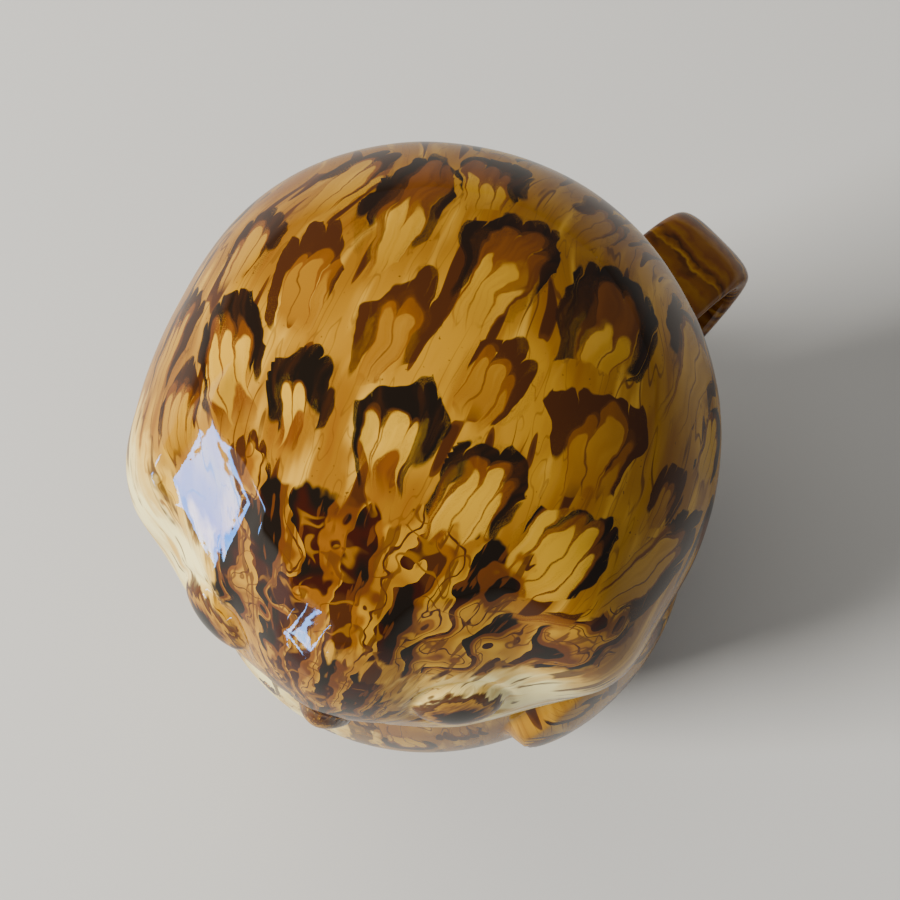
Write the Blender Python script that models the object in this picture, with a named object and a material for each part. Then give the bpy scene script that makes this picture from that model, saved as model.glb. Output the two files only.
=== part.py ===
"""Owl jug in glazed clay: a hollow body with a strap handle, and a lift-off head that is a cup.

Metres, +Z up. The origin is the centre of the flat underside. The owl's breast faces -Y, its left
wing is at +X and the handle stands at +Y. The head rests on the shoulder, turned to its left.
"""

import math

import bmesh
import bpy
from mathutils import Matrix, Vector

# Body: foot, belly and shoulder
FOOT_RADIUS = 0.041
FOOT_HEIGHT = 0.006
FOOT_ROUNDING = 0.0015
BELLY_RADIUS = 0.0527
BELLY_HEIGHT = 0.068
SHOULDER_HEIGHT = 0.1145
BODY_WALL = 0.005
FLOOR_THICKNESS = 0.007

# Breast and wings
BREAST_SWELL = 0.0019
BREAST_SPREAD = math.radians(40)
WING_PROUD = 0.0052
WING_TOP_ANGLE = math.radians(74)
WING_TOP_HEIGHT = 0.104
WING_TIP_ANGLE = math.radians(156)
WING_TIP_HEIGHT = 0.022
WING_HALF_WIDTH = 0.026
WING_BLUNTNESS = 0.14
WING_EDGE_SHARE = 0.42
WING_LEAF_SKEW = 0.62
WING_LEAF_FULLNESS = 0.75
WING_TOP_FLATNESS = 4
WING_END_FLATNESS = 8

# Toes at the front of the foot
TOE_LENGTH = 0.021
TOE_WIDTH = 0.0085
TOE_THICKNESS = 0.0080
TOE_CLEARANCE = 0.0008
TOES_PER_FOOT = 3
TOE_SPACING = math.radians(11.8)
FOOT_ANGLE = math.radians(22)

# Handle
HANDLE_WIDTH = 0.0212
HANDLE_THICKNESS = 0.0075
HANDLE_REACH = 0.0865
HANDLE_TOP = 0.101
HANDLE_BOTTOM = 0.045
HANDLE_RISE = 0.0235
HANDLE_OUT_LEVEL = 0.83
HANDLE_SHOULDER_SHARE = 0.62
HANDLE_OUTERMOST = 0.6
HANDLE_FLARE = 0.3
HANDLE_FLARE_LENGTH = 0.09
HANDLE_SQUARENESS = 3.2

# Collar and head
COLLAR_HEIGHT = 0.0135
COLLAR_WALL = 0.0045
COLLAR_CLEARANCE = 0.0012
HEAD_RADIUS = 0.050
HEAD_WALL = 0.0045
HEAD_RIM_RADIUS = 0.0455
HEAD_CHEEK_HEIGHT = 0.0405
HEAD_DOME_HEIGHT = 0.0485
HEAD_TURN = math.radians(27.5)
SHOULDER_LEDGE = 0.0006
SEAT_GAP = 0.0003
RIM_ROUNDING = 0.0012

# Face, as shares of the head's radius and angles from the beak
RUFF_ANGLE = math.radians(58)
RUFF_SPREAD = math.radians(11)
RUFF_PROUD = 0.047
RUFF_LEAN = 0.012
DISC_INNER_ANGLE = math.radians(7)
DISC_OUTER_ANGLE = math.radians(54)
DISC_SLOPE = math.radians(15)
DISC_DEPTH = 0.066
BEAK_TIP_SPREAD = math.radians(4.5)
BEAK_ROOT_SPREAD = math.radians(9)
BEAK_PROUD = 0.022
SIDE_FLAT_ANGLE = math.radians(-95)
SIDE_FLAT_SPREAD = math.radians(24)
SIDE_FLAT_DEPTH = 0.048
WALL_FOLLOWS = 0.6

# Face levels, 0 where the head is widest and 1 at the crown
RUFF_LEVELS = (-0.75, -0.30, 0.60, 0.88)
DISC_LEVELS = (-0.30, 0.42, 0.60, 0.84)
BEAK_LEVELS = (-0.16, 0.02, 0.55, 0.92)
SIDE_LEVELS = (-0.70, -0.30, 0.40, 0.90)

# Eyes and beak
EYE_ANGLE = math.radians(27)
EYE_LEVEL = 0.33
EYE_WIDTH = 0.0125
EYE_TALL = 0.0110
EYE_PROUD = 0.0022
BEAK_LEVEL = 0.10
BEAK_WIDTH = 0.0085
BEAK_LENGTH = 0.0200
BEAK_THICKNESS = 0.0064
BEAK_SUNK = 0.0022

# How finely the shapes are cut
SEGMENTS = 56
BODY_ROWS = 14
BODY_INNER_ROWS = 8
CHEEK_ROWS = 6
DOME_ROWS = 12
DOME_INNER_ROWS = 6
FACE_CROWDING = 0.38
ROUNDING_STEPS = 2
WING_STEPS = 12
WING_COLUMNS = 6
HANDLE_RINGS = 16
HANDLE_SIDES = 12
TOE_SIDES = 10
TOE_RINGS = 6
BALL_SIDES = 14
BALL_RINGS = 8

# Sizes that follow from the ones above
HEAD_BASE = SHOULDER_HEIGHT + SEAT_GAP
SHOULDER_RADIUS = HEAD_RIM_RADIUS + SHOULDER_LEDGE
COLLAR_RADIUS = HEAD_RIM_RADIUS - HEAD_WALL - COLLAR_CLEARANCE
MOUTH_RADIUS = COLLAR_RADIUS - COLLAR_WALL

GLAZE_AMBER = (0.47, 0.24, 0.045, 1.0)
GLAZE_HONEY = (0.55, 0.31, 0.075, 1.0)


def clear_scene():
    """Remove every object of the open scene."""
    for item in list(bpy.data.objects):
        bpy.data.objects.remove(item, do_unlink=True)


def bump(value, centre, spread):
    """Return a smooth hill of height 1 round a centre."""
    return math.exp(-((value - centre) / spread) ** 2)


def ramp(low, high, value):
    """Return 0 below low, 1 above high and a smooth rise between them."""
    share = min(max((value - low) / (high - low), 0.0), 1.0)
    return share * share * (3.0 - 2.0 * share)


def mix(start, end, share):
    """Return the value a share of the way from start to end."""
    return start + (end - start) * share


def arc_corner(before, corner, after, radius):
    """Return the points that round one corner of a profile in the radius and height plane."""
    to_before = (Vector(before) - Vector(corner)).normalized()
    to_after = (Vector(after) - Vector(corner)).normalized()
    start = Vector(corner) + to_before * radius
    end = Vector(corner) + to_after * radius
    points = []
    for step in range(ROUNDING_STEPS + 1):
        share = step / ROUNDING_STEPS
        near = start.lerp(Vector(corner), share)
        far = Vector(corner).lerp(end, share)
        points.append(tuple(near.lerp(far, share)))
    return points


def spin_profile(mesh, points):
    """Turn a profile of radius and height pairs round the Z axis into a skin."""
    corners = [mesh.verts.new((radius, 0.0, height)) for radius, height in points]
    edges = [mesh.edges.new(pair) for pair in zip(corners, corners[1:])]
    bmesh.ops.spin(
        mesh,
        geom=corners + edges,
        cent=(0.0, 0.0, 0.0),
        axis=(0.0, 0.0, 1.0),
        angle=math.tau,
        steps=SEGMENTS,
        use_merge=True,
    )


def close_and_face_out(mesh):
    """Weld what meets, drop what collapsed and turn every face outwards."""
    bmesh.ops.remove_doubles(mesh, verts=mesh.verts, dist=0.00001)
    bmesh.ops.dissolve_degenerate(mesh, edges=mesh.edges, dist=0.000001)
    bmesh.ops.recalc_face_normals(mesh, faces=mesh.faces)


def make_object(name, mesh, material=None):
    """Turn a bmesh into a smooth-shaded object in the scene."""
    data = bpy.data.meshes.new(name)
    mesh.to_mesh(data)
    mesh.free()
    data.shade_smooth()
    data.set_sharp_from_angle(angle=math.radians(40))
    item = bpy.data.objects.new(name, data)
    bpy.context.scene.collection.objects.link(item)
    if material:
        data.materials.append(material)
    return item


def glazed_clay(name, colour):
    """Return a glossy glazed clay in one colour."""
    material = bpy.data.materials.new(name)
    material.use_nodes = True
    shader = material.node_tree.nodes["Principled BSDF"]
    shader.inputs["Base Color"].default_value = colour
    shader.inputs["Roughness"].default_value = 0.12
    shader.inputs["Metallic"].default_value = 0.0
    return material


def join_to(item, extra):
    """Fuse a hidden shape into an object, as one fired solid."""
    extra.hide_render = True
    extra.display_type = "WIRE"
    union = item.modifiers.new("fuse " + extra.name, "BOOLEAN")
    union.operation = "UNION"
    union.solver = "EXACT"
    union.object = extra


def belly_radius(height):
    """Return the radius of the plain turned body at a height."""
    if height <= FOOT_HEIGHT:
        return FOOT_RADIUS
    if height < BELLY_HEIGHT:
        share = (height - FOOT_HEIGHT) / (BELLY_HEIGHT - FOOT_HEIGHT)
        return mix(FOOT_RADIUS, BELLY_RADIUS, math.sin(share * math.pi / 2))
    share = min((height - BELLY_HEIGHT) / (SHOULDER_HEIGHT - BELLY_HEIGHT), 1.0)
    return mix(SHOULDER_RADIUS, BELLY_RADIUS, math.cos(share * math.pi / 2))


def breast_swell(angle, height):
    """Return how far the breast stands out at an angle from the front."""
    below = ramp(FOOT_HEIGHT, BELLY_HEIGHT, height)
    above = 1.0 - ramp(BELLY_HEIGHT, SHOULDER_HEIGHT, height)
    return BREAST_SWELL * bump(angle, 0.0, BREAST_SPREAD) * below * above


def body_point(angle, height, lift):
    """Return the point that stands a lift outside the body, at an angle from the front."""
    radius = belly_radius(height) + breast_swell(angle, height) + lift
    return Vector((radius * math.sin(angle), -radius * math.cos(angle), height))


def swell_breast(mesh):
    """Push the front of the turned body outwards."""
    for point in mesh.verts:
        if point.co.z > FOOT_HEIGHT:
            angle = math.atan2(point.co.x, -point.co.y)
            point.co = body_point(angle, point.co.z, 0.0)


def body_outer_profile():
    """Return the outside of the body, from the centre of the underside to the shoulder."""
    foot = arc_corner((0.0, 0.0), (FOOT_RADIUS, 0.0), (FOOT_RADIUS, FOOT_HEIGHT), FOOT_ROUNDING)
    side = []
    for row in range(BODY_ROWS + 1):
        height = mix(FOOT_HEIGHT, SHOULDER_HEIGHT, row / BODY_ROWS)
        side.append((belly_radius(height), height))
    return [(0.0, 0.0)] + foot + side


def body_inner_profile():
    """Return the ledge, the collar and the hollow, from the shoulder to the centre of the floor."""
    top = SHOULDER_HEIGHT + COLLAR_HEIGHT
    rim = arc_corner((COLLAR_RADIUS, SHOULDER_HEIGHT), (COLLAR_RADIUS, top), (MOUTH_RADIUS, top), RIM_ROUNDING)
    lip = arc_corner((COLLAR_RADIUS, top), (MOUTH_RADIUS, top), (MOUTH_RADIUS, SHOULDER_HEIGHT), RIM_ROUNDING)
    hollow = []
    ceiling = SHOULDER_HEIGHT - BODY_WALL - (SHOULDER_RADIUS - BODY_WALL - MOUTH_RADIUS) / 2
    for row in range(BODY_INNER_ROWS + 1):
        height = mix(ceiling, FLOOR_THICKNESS + FOOT_HEIGHT, row / BODY_INNER_ROWS)
        hollow.append((belly_radius(height) - BODY_WALL, height))
    floor = arc_corner(hollow[-1], (hollow[-1][0], FLOOR_THICKNESS), (0.0, FLOOR_THICKNESS), FOOT_HEIGHT / 2)
    ledge = [(belly_radius(SHOULDER_HEIGHT), SHOULDER_HEIGHT), (COLLAR_RADIUS, SHOULDER_HEIGHT)]
    neck = [(MOUTH_RADIUS, SHOULDER_HEIGHT - BODY_WALL)]
    return ledge + rim + lip + neck + hollow + floor + [(0.0, FLOOR_THICKNESS)]


def wing_point(along, across, lift_share, side):
    """Return a point of a wing, along it from shoulder to tip and across it from edge to edge."""
    top = Vector((WING_TOP_ANGLE * BELLY_RADIUS, WING_TOP_HEIGHT))
    tip = Vector((WING_TIP_ANGLE * BELLY_RADIUS, WING_TIP_HEIGHT))
    run = (tip - top).normalized()
    leaf = math.sin(math.pi * along ** WING_LEAF_SKEW) ** WING_LEAF_FULLNESS
    width = WING_HALF_WIDTH * mix(WING_BLUNTNESS, 1.0, leaf)
    spot = top.lerp(tip, along) + Vector((-run.y, run.x)) * (across * width)
    from_side = 1.0 - across ** WING_TOP_FLATNESS
    from_end = 1.0 - (2.0 * along - 1.0) ** WING_END_FLATNESS
    middle = math.sqrt(from_side * from_end)
    proud = WING_PROUD * mix(WING_EDGE_SHARE, 1.0, middle)
    return body_point(side * spot.x / BELLY_RADIUS, spot.y, mix(-BODY_WALL / 2, proud, lift_share))


def wing_mesh(side):
    """Build one wing as a leaf-shaped pad bent round the body."""
    mesh = bmesh.new()
    bmesh.ops.create_grid(mesh, x_segments=WING_STEPS, y_segments=WING_COLUMNS, size=0.5)
    sheet = bmesh.ops.extrude_face_region(mesh, geom=mesh.faces[:])
    for item in sheet["geom"]:
        if isinstance(item, bmesh.types.BMVert):
            item.co.z = 1.0
    for point in mesh.verts:
        along = min(max(point.co.x + 0.5, 0.0), 1.0)
        across = math.sin(math.pi * min(max(point.co.y, -0.5), 0.5))
        point.co = wing_point(along, across, point.co.z, side)
    bmesh.ops.recalc_face_normals(mesh, faces=mesh.faces)
    return mesh


def handle_curve():
    """Return the four control points of the strap's middle, as radius and height pairs."""
    top = belly_radius(HANDLE_TOP) - BODY_WALL / 2
    bottom = belly_radius(HANDLE_BOTTOM) - BODY_WALL / 2
    reach = HANDLE_REACH - HANDLE_THICKNESS / 2
    near, far = 1.0 - HANDLE_OUTERMOST, HANDLE_OUTERMOST
    over_weight, out_weight = 3 * near ** 2 * far, 3 * near * far ** 2
    pull = (reach - near ** 3 * top - far ** 3 * bottom) / (over_weight + out_weight)
    over = mix(top, pull, HANDLE_SHOULDER_SHARE)
    out = pull + (pull - over) * over_weight / out_weight
    return (
        Vector((top, HANDLE_TOP)),
        Vector((over, HANDLE_TOP + HANDLE_RISE)),
        Vector((out, mix(HANDLE_BOTTOM, HANDLE_TOP, HANDLE_OUT_LEVEL))),
        Vector((bottom, HANDLE_BOTTOM)),
    )


def handle_point(share):
    """Return the middle of the strap at a share of its length."""
    start, over, out, end = handle_curve()
    rest = 1.0 - share
    return start * rest ** 3 + over * 3 * rest ** 2 * share + out * 3 * rest * share ** 2 + end * share ** 3


def handle_mesh():
    """Build the strap as rings of a rounded oblong that lie along the wall at both ends."""
    mesh = bmesh.new()
    rings = []
    for ring in range(HANDLE_RINGS + 1):
        share = ring / HANDLE_RINGS
        middle = handle_point(share)
        along = (handle_point(min(share + 0.01, 1.0)) - handle_point(max(share - 0.01, 0.0))).normalized()
        at_wall = bump(share, 0.0, HANDLE_FLARE_LENGTH) + bump(share, 1.0, HANDLE_FLARE_LENGTH)
        upright = Vector((0.0, -1.0 if share > 0.5 else 1.0))
        across = Vector((-along.y, along.x)).lerp(upright, at_wall).normalized()
        corners = []
        for side in range(HANDLE_SIDES):
            turn = math.tau * (side + 0.5) / HANDLE_SIDES
            power = 2 / HANDLE_SQUARENESS
            wide = math.copysign(abs(math.cos(turn)) ** power, math.cos(turn))
            thick = math.copysign(abs(math.sin(turn)) ** power, math.sin(turn))
            wide *= HANDLE_WIDTH / 2 * (1.0 + HANDLE_FLARE * at_wall)
            spot = middle + across * (thick * HANDLE_THICKNESS / 2)
            bend = middle.x - math.sqrt(middle.x ** 2 - wide ** 2)
            corners.append(mesh.verts.new((wide, spot.x - bend * at_wall, spot.y)))
        rings.append(corners)
    for near, far in zip(rings, rings[1:]):
        for side in range(HANDLE_SIDES):
            following = (side + 1) % HANDLE_SIDES
            mesh.faces.new((near[side], near[following], far[following], far[side]))
    mesh.faces.new(rings[0])
    mesh.faces.new(rings[-1])
    bmesh.ops.recalc_face_normals(mesh, faces=mesh.faces)
    return mesh


def toes_mesh():
    """Build the toes of both feet as stretched balls that lean out of the foot."""
    mesh = bmesh.new()
    for foot_side in (-1, 1):
        for toe in range(TOES_PER_FOOT):
            spread = (toe - (TOES_PER_FOOT - 1) / 2) * TOE_SPACING
            angle = foot_side * FOOT_ANGLE + spread
            place = Matrix.Rotation(angle, 4, "Z")
            place @= Matrix.Translation((0.0, -FOOT_RADIUS, TOE_THICKNESS / 2 + TOE_CLEARANCE))
            size = (TOE_WIDTH / 2, TOE_LENGTH / 2, TOE_THICKNESS / 2)
            place @= Matrix.Diagonal((*size, 1.0))
            bmesh.ops.create_uvsphere(
                mesh, u_segments=TOE_SIDES, v_segments=TOE_RINGS, radius=1.0, matrix=place
            )
    bmesh.ops.recalc_face_normals(mesh, faces=mesh.faces)
    return mesh


def cheek_radius(share):
    """Return the head's radius a share of the way from its rim to its widest level."""
    return mix(HEAD_RIM_RADIUS, HEAD_RADIUS, math.sin(share * math.pi / 2))


def level_window(levels, level):
    """Return 1 between the two middle levels, falling to 0 at the outer two."""
    return ramp(levels[0], levels[1], level) * (1.0 - ramp(levels[2], levels[3], level))


def face_relief(angle, level):
    """Return the carving of the face as a share of the head's radius, at an angle from the beak."""
    size = abs(angle)
    proud = RUFF_PROUD + math.copysign(RUFF_LEAN, angle)
    ruff = proud * bump(size, RUFF_ANGLE, RUFF_SPREAD) * level_window(RUFF_LEVELS, level)
    inner = ramp(DISC_INNER_ANGLE, DISC_INNER_ANGLE + DISC_SLOPE, size)
    outer = 1.0 - ramp(DISC_OUTER_ANGLE - DISC_SLOPE, DISC_OUTER_ANGLE, size)
    disc = DISC_DEPTH * inner * outer * level_window(DISC_LEVELS, level)
    spread = mix(BEAK_TIP_SPREAD, BEAK_ROOT_SPREAD, ramp(BEAK_LEVELS[1], BEAK_LEVELS[2], level))
    beak = BEAK_PROUD * bump(size, 0.0, spread) * level_window(BEAK_LEVELS, level)
    flat = SIDE_FLAT_DEPTH * bump(angle, SIDE_FLAT_ANGLE, SIDE_FLAT_SPREAD) * level_window(SIDE_LEVELS, level)
    return ruff - disc + beak - flat


def head_point(angle, level):
    """Return a point of the carved head at an angle from the beak and a level above the cheeks."""
    if level < 0:
        radius = cheek_radius(1.0 + level * HEAD_DOME_HEIGHT / HEAD_CHEEK_HEIGHT)
    else:
        radius = HEAD_RADIUS * math.sqrt(1.0 - level * level)
    radius *= 1.0 + face_relief(angle, level)
    height = HEAD_CHEEK_HEIGHT + HEAD_DOME_HEIGHT * level
    return Vector((radius * math.sin(angle), -radius * math.cos(angle), height))


def head_outer_profile():
    """Return the outside of the head, from its rounded rim to the crown."""
    inside = (HEAD_RIM_RADIUS - HEAD_WALL, 0.0)
    above = (cheek_radius(1 / CHEEK_ROWS), HEAD_CHEEK_HEIGHT / CHEEK_ROWS)
    points = arc_corner(inside, (HEAD_RIM_RADIUS, 0.0), above, RIM_ROUNDING)
    for row in range(1, CHEEK_ROWS):
        points.append((cheek_radius(row / CHEEK_ROWS), HEAD_CHEEK_HEIGHT * row / CHEEK_ROWS))
    for row in range(DOME_ROWS + 1):
        lift = math.pi / 2 * row / DOME_ROWS
        height = HEAD_CHEEK_HEIGHT + HEAD_DOME_HEIGHT * math.sin(lift)
        points.append((HEAD_RADIUS * math.cos(lift), height))
    points[-1] = (0.0, HEAD_CHEEK_HEIGHT + HEAD_DOME_HEIGHT)
    return points


def head_inner_profile():
    """Return the hollow of the head, from the crown down to its rounded rim."""
    points = []
    for row in range(DOME_INNER_ROWS + 1):
        lift = math.pi / 2 * (1.0 - row / DOME_INNER_ROWS)
        height = HEAD_CHEEK_HEIGHT + (HEAD_DOME_HEIGHT - HEAD_WALL) * math.sin(lift)
        points.append(((HEAD_RADIUS - HEAD_WALL) * math.cos(lift), height))
    points[0] = (0.0, HEAD_CHEEK_HEIGHT + HEAD_DOME_HEIGHT - HEAD_WALL)
    for row in range(2, CHEEK_ROWS, 2):
        share = 1.0 - row / CHEEK_ROWS
        points.append((cheek_radius(share) - HEAD_WALL, HEAD_CHEEK_HEIGHT * share))
    corner = (HEAD_RIM_RADIUS - HEAD_WALL, 0.0)
    points += arc_corner(points[-1], corner, (HEAD_RIM_RADIUS, 0.0), RIM_ROUNDING)
    return points + [head_outer_profile()[0]]


def carve_head(points, strength):
    """Press the face discs, the ruff and the beak into a skin of the head."""
    for point in points:
        radius = math.hypot(point.co.x, point.co.y)
        if radius < HEAD_RADIUS / 100:
            continue
        level = (point.co.z - HEAD_CHEEK_HEIGHT) / HEAD_DOME_HEIGHT
        angle = math.atan2(point.co.x, -point.co.y)
        angle -= FACE_CROWDING * math.sin(angle) * ramp(RUFF_LEVELS[0], RUFF_LEVELS[1], level)
        radius *= 1.0 + face_relief(angle, level) * strength
        point.co.x = radius * math.sin(angle)
        point.co.y = -radius * math.cos(angle)


def ball_on_head(mesh, angle, level, sunk, size):
    """Add a stretched ball to the face, sunk into it and leaning with the head's curve."""
    place = Matrix.Translation(head_point(angle, level))
    place @= Matrix.Rotation(angle, 4, "Z") @ Matrix.Rotation(-math.asin(level), 4, "X")
    place @= Matrix.Translation((0.0, sunk, 0.0)) @ Matrix.Diagonal((*size, 1.0))
    bmesh.ops.create_uvsphere(mesh, u_segments=BALL_SIDES, v_segments=BALL_RINGS, radius=1.0, matrix=place)


def eyes_and_beak_mesh():
    """Build the two eyes and the beak as flattened balls pressed on the face."""
    mesh = bmesh.new()
    for side in (-1, 1):
        ball_on_head(mesh, side * EYE_ANGLE, EYE_LEVEL, 0.0, (EYE_WIDTH / 2, EYE_PROUD, EYE_TALL / 2))
    ball_on_head(mesh, 0.0, BEAK_LEVEL, BEAK_SUNK, (BEAK_WIDTH / 2, BEAK_THICKNESS / 2, BEAK_LENGTH / 2))
    bmesh.ops.recalc_face_normals(mesh, faces=mesh.faces)
    return mesh


def build_body():
    """Make the body with its wings, toes, collar and handle as one hollow solid."""
    mesh = bmesh.new()
    spin_profile(mesh, body_outer_profile())
    swell_breast(mesh)
    spin_profile(mesh, body_inner_profile())
    close_and_face_out(mesh)
    body = make_object("jug_body", mesh, glazed_clay("body glaze", GLAZE_AMBER))
    join_to(body, make_object("left wing", wing_mesh(1)))
    join_to(body, make_object("right wing", wing_mesh(-1)))
    join_to(body, make_object("strap", handle_mesh()))
    join_to(body, make_object("toes", toes_mesh()))


def build_head():
    """Make the hollow head that lifts off, and set it on the shoulder."""
    mesh = bmesh.new()
    spin_profile(mesh, head_outer_profile())
    carve_head(mesh.verts, 1.0)
    outer_count = len(mesh.verts)
    spin_profile(mesh, head_inner_profile())
    carve_head(mesh.verts[outer_count:], WALL_FOLLOWS)
    close_and_face_out(mesh)
    head = make_object("head_cup", mesh, glazed_clay("head glaze", GLAZE_HONEY))
    features = make_object("eyes and beak", eyes_and_beak_mesh())
    features.parent = head
    join_to(head, features)
    head.location.z = HEAD_BASE
    head.rotation_euler.z = HEAD_TURN


def main():
    """Build the jug."""
    clear_scene()
    build_body()
    build_head()


main()
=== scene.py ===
"""Looks of the owl jug: clays marbled into feathers under a honey glaze, on a pale floor."""

import logging
import math
import random
from dataclasses import dataclass
from enum import Enum
from typing import Iterable, Union

import bmesh
import bpy
import numpy as np
from mathutils import Matrix, Vector, noise
from mathutils.bvhtree import BVHTree


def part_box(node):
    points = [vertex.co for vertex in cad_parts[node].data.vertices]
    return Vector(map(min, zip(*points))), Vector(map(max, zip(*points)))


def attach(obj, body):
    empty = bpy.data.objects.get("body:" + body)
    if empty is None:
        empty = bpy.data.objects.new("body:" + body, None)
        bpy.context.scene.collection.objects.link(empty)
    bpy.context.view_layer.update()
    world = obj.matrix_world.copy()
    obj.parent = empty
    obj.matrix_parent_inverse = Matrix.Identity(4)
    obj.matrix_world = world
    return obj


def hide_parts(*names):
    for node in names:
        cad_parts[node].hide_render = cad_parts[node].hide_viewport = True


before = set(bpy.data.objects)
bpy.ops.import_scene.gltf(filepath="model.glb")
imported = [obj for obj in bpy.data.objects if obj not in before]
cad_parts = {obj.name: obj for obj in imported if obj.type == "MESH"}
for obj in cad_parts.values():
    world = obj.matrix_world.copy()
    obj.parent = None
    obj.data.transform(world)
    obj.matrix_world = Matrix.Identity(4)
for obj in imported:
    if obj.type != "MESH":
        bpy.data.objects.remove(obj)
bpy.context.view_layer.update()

LOG = logging.getLogger("owl_jug")
MM = 0.001
# Points nearer to each other than WELD are one, and edges shorter than COLLAPSED go.
WELD, COLLAPSED = 0.000004, 0.0000005
# More than any place lies from a feather mark.
FAR = 1e9
# How many straight pieces a rounded edge has.
ROUNDING_STEPS = 5
# The width of a feather mark, in the units that it is drawn in.
MARK_WIDTH = 0.8
# The ranges of the number that fixes what chance draws in a mark, and of its lean in degrees.
CHANCES, LEANS = (0, 90), (-12, 12)
# The radius of the ring that one turn round a piece makes in the space of the flow.
FLOW_RING = 28.0
# What the columns of a table of feather marks hold.
MIDDLE, SIDE, RUN, SIZE = slice(0, 3), slice(3, 6), slice(6, 9), slice(9, 11)
CHANCE, LOOK, ROOT = 11, slice(12, 15), [15, 16, 9]

Pair = tuple[float, float]
Triple = tuple[float, float, float]
Profile = list[Pair]
Levels = tuple[float, float, float, float]
Patches = tuple[tuple[float, float, float, float, float], ...]
Mesh = bmesh.types.BMesh
Piece = bpy.types.Object
Tree = bpy.types.NodeTree


class Clay(Enum):
    """The clays that the jug is marbled from, as linear colours under the glaze."""

    BLACK = (0.007, 0.004, 0.002)
    SWIRL_BROWN = (0.026, 0.004, 0.001)
    DARK_BROWN = (0.048, 0.013, 0.002)
    UMBER = (0.080, 0.042, 0.016)
    BROWN = (0.085, 0.026, 0.003)
    DEEP_RUST = (0.095, 0.026, 0.003)
    RUST = (0.145, 0.043, 0.004)
    AMBER = (0.190, 0.066, 0.003)
    DEEP_OCHRE = (0.225, 0.092, 0.004)
    OCHRE = (0.360, 0.172, 0.008)
    PALE_OCHRE = (0.600, 0.335, 0.030)
    STRAW = (0.520, 0.285, 0.014)
    CREAM = (0.930, 0.800, 0.340)
    OLD_CREAM = (0.700, 0.500, 0.140)
    BISCUIT = (0.520, 0.400, 0.260)


@dataclass(frozen=True)
class FeatherLook:
    """How the clays are stacked in a feather mark, each from 0 to 1."""

    dark: float
    cap: float
    brown: float
    root: float
    pale: float


class FeatherKind(Enum):
    """The kinds of feather mark that the clays are drawn into."""

    CAPPED = FeatherLook(dark=0.50, cap=0.95, brown=0.10, root=0.0, pale=0.55)
    FINGERED = FeatherLook(dark=0.55, cap=0.35, brown=0.05, root=0.45, pale=0.85)
    ROOTED = FeatherLook(dark=0.75, cap=0.05, brown=0.0, root=1.0, pale=1.0)
    BROWN = FeatherLook(dark=0.60, cap=0.50, brown=0.95, root=0.3, pale=0.30)
    SLIM = FeatherLook(dark=0.58, cap=0.30, brown=0.40, root=0.1, pale=0.50)
    BLOTCH = FeatherLook(dark=1.0, cap=0.0, brown=0.85, root=0.0, pale=0.40)


SCATTERED_KINDS = (FeatherKind.CAPPED, FeatherKind.FINGERED, FeatherKind.BROWN, FeatherKind.SLIM)


def bump(value: float, centre: float, spread: float) -> float:
    """Return a smooth hill of height 1 round a centre."""
    return math.exp(-((value - centre) / spread) ** 2)


def ramp(low: float, high: float, value: float) -> float:
    """Return 0 below low, 1 above high and a smooth rise between them."""
    share = min(max((value - low) / (high - low), 0.0), 1.0)
    return share * share * (3.0 - 2.0 * share)


def smooth_step(low: float, high: float, values: np.ndarray) -> np.ndarray:
    """Return 0 below low, 1 above high and a smooth rise between, for each value."""
    share = np.clip((values - low) / (high - low), 0.0, 1.0)
    return share * share * (3.0 - 2.0 * share)


def mix(start: float, end: float, share: float) -> float:
    """Return the value a share of the way from start to end."""
    return start + (end - start) * share


def window(levels: Levels, value: float) -> float:
    """Return 1 between the two middle levels, falling to 0 at the outer two."""
    return ramp(levels[0], levels[1], value) * (1.0 - ramp(levels[2], levels[3], value))


def arc_corner(before: Pair, corner: Pair, after: Pair, radius: float,
               steps: int = ROUNDING_STEPS) -> Profile:
    """Return the points that round one corner of a profile.

    Args:
        before: The profile point ahead of the corner.
        corner: The corner itself.
        after: The profile point past the corner.
        radius: How far from the corner the rounding starts.
        steps: How many straight pieces the rounding has.

    Returns:
        The points of the rounding, in order.
    """
    middle = Vector(corner)
    start = middle + (Vector(before) - middle).normalized() * radius
    end = middle + (Vector(after) - middle).normalized() * radius
    shares = [step / steps for step in range(steps + 1)]
    return [tuple(start.lerp(middle, share).lerp(middle.lerp(end, share), share)) for share in shares]


def spin_profile(mesh: Mesh, points: Profile, columns: int) -> None:
    """Turn a profile round the Z axis into a skin.

    Args:
        mesh: The mesh that gets the skin.
        points: The profile, as radius and height pairs.
        columns: How many columns of faces go round.
    """
    corners = [mesh.verts.new((radius, 0.0, height)) for radius, height in points]
    edges = [mesh.edges.new(pair) for pair in zip(corners, corners[1:])]
    bmesh.ops.spin(mesh, geom=corners + edges, cent=(0.0, 0.0, 0.0), axis=(0.0, 0.0, 1.0),
                   angle=math.tau, steps=columns, use_merge=True)


def add_skin(mesh: Mesh, skin: Mesh) -> None:
    """Add a second skin to a mesh.

    Args:
        mesh: The mesh that gets the skin.
        skin: The skin, which is used up.
    """
    data = bpy.data.meshes.new("skin")
    skin.to_mesh(data)
    skin.free()
    mesh.from_mesh(data)
    bpy.data.meshes.remove(data)


def close_and_face_out(mesh: Mesh) -> None:
    """Weld what meets, drop what collapsed and turn every face outwards.

    Args:
        mesh: The mesh to close.
    """
    bmesh.ops.remove_doubles(mesh, verts=mesh.verts, dist=WELD)
    bmesh.ops.dissolve_degenerate(mesh, edges=mesh.edges, dist=COLLAPSED)
    bmesh.ops.recalc_face_normals(mesh, faces=mesh.faces)


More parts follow.
